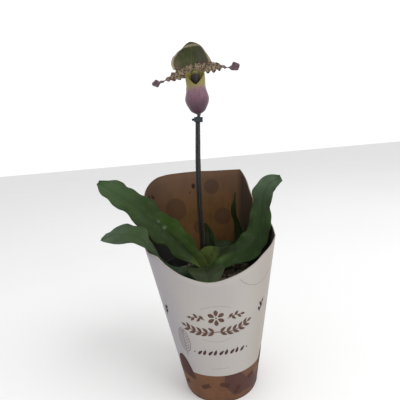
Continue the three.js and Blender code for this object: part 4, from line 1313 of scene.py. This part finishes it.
def petal_look():
    """Cream with rows of maroon spots and a maroon edge, all maroon towards the spoon-shaped tip."""
    look = Look("petal", 0.6, 0.15, 0.05)
    place, sheet = look.place, look.sheet
    u, v, _ = sheet.axes()
    across = abs(v - 0.5)
    look.tone = look.mix(place.noise(220, 3).step(0.35, 0.65), "83775d", "6b5d4c")
    size = u.step(0.05, 0.7, 0.38, 0.5)
    spots = (sheet.scaled(20, 4.2, 1).cells(1.0, 0.8) - size).fade(-0.06, 0.05)
    bars = sheet.scaled(34, 1.1, 1).noise(1.0, 1, 0.3).step(0.55, 0.62, 0.0, 0.9)
    ragged = (across + place.noise(420, 2) * 0.12).step(0.44, 0.49, 0.0, 0.9)
    look.over(spots | bars | ragged, "442c2a")
    tip = look.mix(place.noise(300, 3).step(0.4, 0.6), "66545a", "58444c")
    tip = look.mix(across.step(0.4, 0.49, 0.0, 0.6), tip, "48323a")
    look.over((u + (place.noise(260, 2) - 0.5) * 0.08).step(0.6, 0.68), tip)
    return look.finish(sheet.scaled(8, 30, 1).noise(1.0, 2), 0.35, 0.5)


POUCH_SLANT = 0.16  # how far the edge of the yellow rises for each millimetre to the right
POUCH_TALL = 37


def pouch_look():
    """Yellow-green about the mouth, pink-purple below, with fine darker veins and speckles."""
    look = Look("pouch", 0.45, 0.35, 0.1)
    place = look.place
    x, _, z = place.axes()
    level = (z - (FLOWER[2] - POUCH_TALL) * MM).math("DIVIDE", POUCH_TALL * MM)
    level = level - x * (POUCH_SLANT / (POUCH_TALL * MM)) + (place.noise(150, 3) - 0.5) * 0.07
    look.tone = level.ramp(
        (0.0, "402833"), (0.15, "513542"), (0.33, "664554"), (0.53, "7c5e69"),
        (0.59, "836c5c"), (0.63, "7f7742"), (0.74, "777037"), (1.0, "5e5a2d"))
    veins = place.scaled(1, 1, 0.28).noise(420, 2)
    below = level.fade(0.53, 0.6)
    look.over(veins.step(0.5, 0.64, 0.0, 0.4) * below, "4e3140")
    look.over(place.cells(420).step(0.14, 0.24, 0.5, 0.0) * below, "492c38")
    return look.finish(veins, 0.25, 0.45)


def pouch_inside_look():
    """The inside is a light yellow-green: painted light that stands in for light coming through the thin
    wall.
    """
    look = Look("pouch_inside", 0.55, 0.15)
    place = look.place
    z = place.axes()[2]
    grain = place.scaled(1, 1, 0.4).noise(300, 3)
    bright = look.mix(grain.step(0.4, 0.62), "d6ca6e", "baae58")
    bright = look.mix(z.step((FLOWER[2] - 13) * MM, (FLOWER[2] - 8) * MM), bright, "80763c")
    look.tone = look.mix(z.step((FLOWER[2] - 24) * MM, (FLOWER[2] - 12) * MM), "785c46", bright)
    return look.finish(grain, 0.15, 0.4)


def shield_look():
    """The staminode: dark maroon, green at its top and browner at its point."""
    look = Look("shield", 0.5, 0.15)
    grain = look.place.noise(500, 3)
    look.tone = (look.sheet.axes()[0] + (grain - 0.5) * 0.12).ramp(
        (0.02, "7a7642"), (0.14, "5c5a32"), (0.24, "312b29"), (0.8, "2a2424"),
        (1.0, "3e3424"))
    return look.finish(grain, 0.15)


def flesh_look(name, light, dark):
    look = Look(name, 0.55, 0.15, 0.05)
    place = look.place
    look.tone = place.noise(260, 4, 0.6).ramp((0.34, dark), (0.64, light))
    return look.finish(place.scaled(1, 1, 0.3).noise(900, 2), 0.15, 0.6)


def pouch_point(share, angle, inset):
    foot = POUCH["foot"] + inset
    radius = max(0.15, smooth_value(POUCH["halves"], share) - inset)
    across, backwards = polar(1, angle)
    rim = POUCH["rim"] + POUCH["lobe"] * abs(across) ** 1.3
    rim += (1.5 if backwards < 0 else POUCH["back"]) * backwards
    ribs = 0.12 * sin(7 * angle) * sin(pi * min(1, share * 1.1)) if inset == 0 else 0
    y = -9.5 - 2 * share + 1.5 * (1 - share) ** 2 + POUCH["depth"] * (radius + ribs) * backwards
    return 0.2 + (radius + ribs) * across, y, foot + (rim - foot) * share


def make_pouch():
    sides, rows = 112, 64
    wall = POUCH["wall"]
    shares = [(k + 1) / rows for k in range(rows)]
    rings = [(share, 0.0, 0.0) for share in shares]
    rings += [(1.0, 0.16, 0.22), (1.0, 0.5, 0.22), (1.0, wall, 0.0)]
    rings += [(share, wall, 0.0) for share in reversed(shares[6:-1])]
    points = []
    for share, inset, lip in rings:
        for i in range(sides):
            x, y, z = pouch_point(share, 2 * pi * i / sides, inset)
            points.append((x, y, z + lip))
    faces = grid_faces(len(rings) - 1, sides, wrap=True)
    kinds = [int(i >= (rows + 2) * sides) for i in range(len(faces))]
    poles = (0.2, -8, POUCH["foot"] - 0.2), (0.2, -8.4, POUCH["foot"] + 4)
    for pole, ring in zip(poles, (0, len(rings) - 1)):
        at = ring * sides
        faces += [(len(points), at + (i + 1) % sides, at + i) for i in range(sides)]
        kinds += [int(ring > 0)] * sides
        points.append(pole)
    piece("pouch", in_flower(points), faces, [pouch_look(), pouch_inside_look()], "lip_pouch",
          kinds=kinds)


def make_petals(draw, hairs):
    def frill(u, v):
        return 0.3 * sin(60 * u + 3 * v) * v * v * smoothstep(u, 0.05, 0.3) * (u < 0.68)

    look = petal_look()
    roots = []
    for node, shape in (("petal_left", PETAL_LEFT), ("petal_right", PETAL_RIGHT)):
        margins = blade_piece(node + "_blade", node, "petal_cream", look, in_flower, shape, 190, 18, frill)
        for point, out, normal in margins[0][8:] + margins[1][8:]:
            sway = np.array([draw.uniform(-0.4, 0.4) for _ in range(3)])
            roots.append((point + FLOWER, out + 0.5 * normal + sway, 0.5 + 0.7 * draw.random(), 0.04))
    spikes("petal_hairs", roots, hairs)


def make_flower(hairs):
    def wrinkle(u, v):
        return 0.22 * cos(16 * v) * (1 - v * v) + 0.35 * noise.noise((5 * u, 3 * v, 7.7)) * abs(v)

    def bulge(u, v):
        return 0.8 * (1 - v * v) * sin(pi * min(1, u + 0.15))

    def ribbed(u, angle):
        return OVARY_RADIUS * (0.94 + 0.06 * cos(6 * angle + 2 * u)) * (
            0.7 + 0.3 * smoothstep(u, 0, 0.2)) * (1 - 0.25 * smoothstep(u, 0.85, 1))

    draw = random.Random(19)
    make_petals(draw, hairs)
    blade_piece("dorsal_blade", "dorsal_sepal", "sepal_green", sepal_look(), in_flower,
                DORSAL_SEPAL, 90, 60, wrinkle)
    back = flesh_look("sepal_back", "4d522d", "383f21")
    blade_piece("synsepal_blade", "synsepal", "sepal_back_green", back, in_flower,
                SYNSEPAL, 60, 40, wrinkle)
    blade_piece("staminode_shield", "staminode", "staminode_maroon", shield_look(), in_flower,
                STAMINODE, 40, 24, bulge)

    wide = COLUMN_RADIUS
    profile = [(0, -3.6), (1.4, -3.5), (wide - 0.6, -2.9), (wide, -1), (wide, 1.5), (wide - 0.4, 4),
               (wide - 1.2, 6.8), (1.0, 7.7), (0, 7.8)]
    points, faces = turned(profile, 32)
    placed = in_flower([(x, -z, y) for x, y, z in points])
    green = flesh_look("column_flesh", "6e6946", "4b422c")
    piece("flower_column", placed, faces, green, "column")
    make_pouch()

    route = Route(OVARY_ROUTE)
    points, faces, uv = tube(route, ribbed, 70, 36)
    flesh = flesh_look("ovary_flesh", "343328", "23211f")
    piece("ovary_tube", points, faces, flesh, "ovary", uv)
    roots = hair_roots(draw, 500, route, OVARY_RADIUS * 0.8, 0.2, 0.5, 0.04)
    spikes("ovary_hairs", roots, hairs)
    bract = flesh_look("bract_flesh", "3d3b2a", "2a281f")
    blade_piece("bract_blade", "floral_bract", "bract_green", bract, list,
                BRACT, 40, 24, lambda u, v: 0.1 * cos(14 * v))


# ------------------------------------------------------------------ floor, light and camera

HORIZON = 1.05  # brightness of the studio at eye level
ZENITH = 0.68
DIMMING = (0.36, 0.7)  # upward part of the direction between which it falls from one to the other
CAMERA_AT = (0, -331.416, 239.629)


def add_object(name, data):
    made = bpy.data.objects.new(name, data)
    bpy.context.scene.collection.objects.link(made)
    return made


def make_floor():
    look = Look("floor", 0.8)
    look.tone = look.place.noise(3, 2).ramp((0.3, "f8f8f8"), (0.7, "fafafa"))
    size = 6.0
    corners = [(-size, -size, 0), (size, -size, 0), (size, size, 0), (-size, size, 0)]
    mesh = bpy.data.meshes.new("floor")
    mesh.from_pydata(corners, [], [(0, 1, 2, 3)])
    mesh.materials.append(look.finish().material)
    add_object("floor", mesh)


def make_lights():
    world = bpy.data.worlds.new("studio")
    bpy.context.scene.world = world
    world.use_nodes = True
    tree = world.node_tree
    background = tree.nodes["Background"]
    background.inputs["Color"].default_value = (1.0, 1.0, 1.0, 1.0)
    direction, split, fade = (
        tree.nodes.new("ShaderNode" + kind) for kind in ("TexCoord", "SeparateXYZ", "MapRange"))
    for key, value in zip(("From Min", "From Max", "To Min", "To Max"), (*DIMMING, HORIZON, ZENITH)):
        fade.inputs[key].default_value = value
    tree.links.new(direction.outputs["Generated"], split.inputs[0])
    tree.links.new(split.outputs[2], fade.inputs["Value"])
    tree.links.new(fade.outputs[0], background.inputs["Strength"])
    target = Vector((0, 0, 0.16))
    for name, place, power in (("key", (0.9, -0.6, 1.4), 12.0), ("fill", (-0.9, -0.7, 0.7), 0.4)):
        light = bpy.data.lights.new(name, "AREA")
        light.shape, light.size, light.energy = "SQUARE", 1.0, power
        lamp = add_object(name, light)
        lamp.location = place
        lamp.rotation_euler = (target - Vector(place)).to_track_quat("-Z", "Y").to_euler()


def make_camera():
    data = bpy.data.cameras.new("camera")
    data.sensor_width, data.lens, data.clip_start = 36, 31.5, 0.01
    right = Vector((0.99607, 0.00421, -0.08847))
    up = Vector((0.08677, 0.15395, 0.98426))
    ahead = Vector((-0.01776, 0.98807, -0.15298))
    turn = Matrix((right, up, -ahead)).transposed().to_4x4()
    camera = add_object("camera", data)
    camera.matrix_world = Matrix.Translation(Vector(CAMERA_AT) * MM) @ turn
    bpy.context.scene.camera = camera


# ------------------------------------------------------------------ the whole plant

make_camera()
make_floor()
make_lights()
bpy.context.scene.view_settings.view_transform = "Standard"

make_sleeve()
make_prints()
make_pot()
make_bark()
hairs = hair_look()
looks = leaf_looks()
make_crown(looks["leaf_left_upper"])
make_stems(hairs)
make_clip()
make_leaves(looks)
make_flower(hairs)
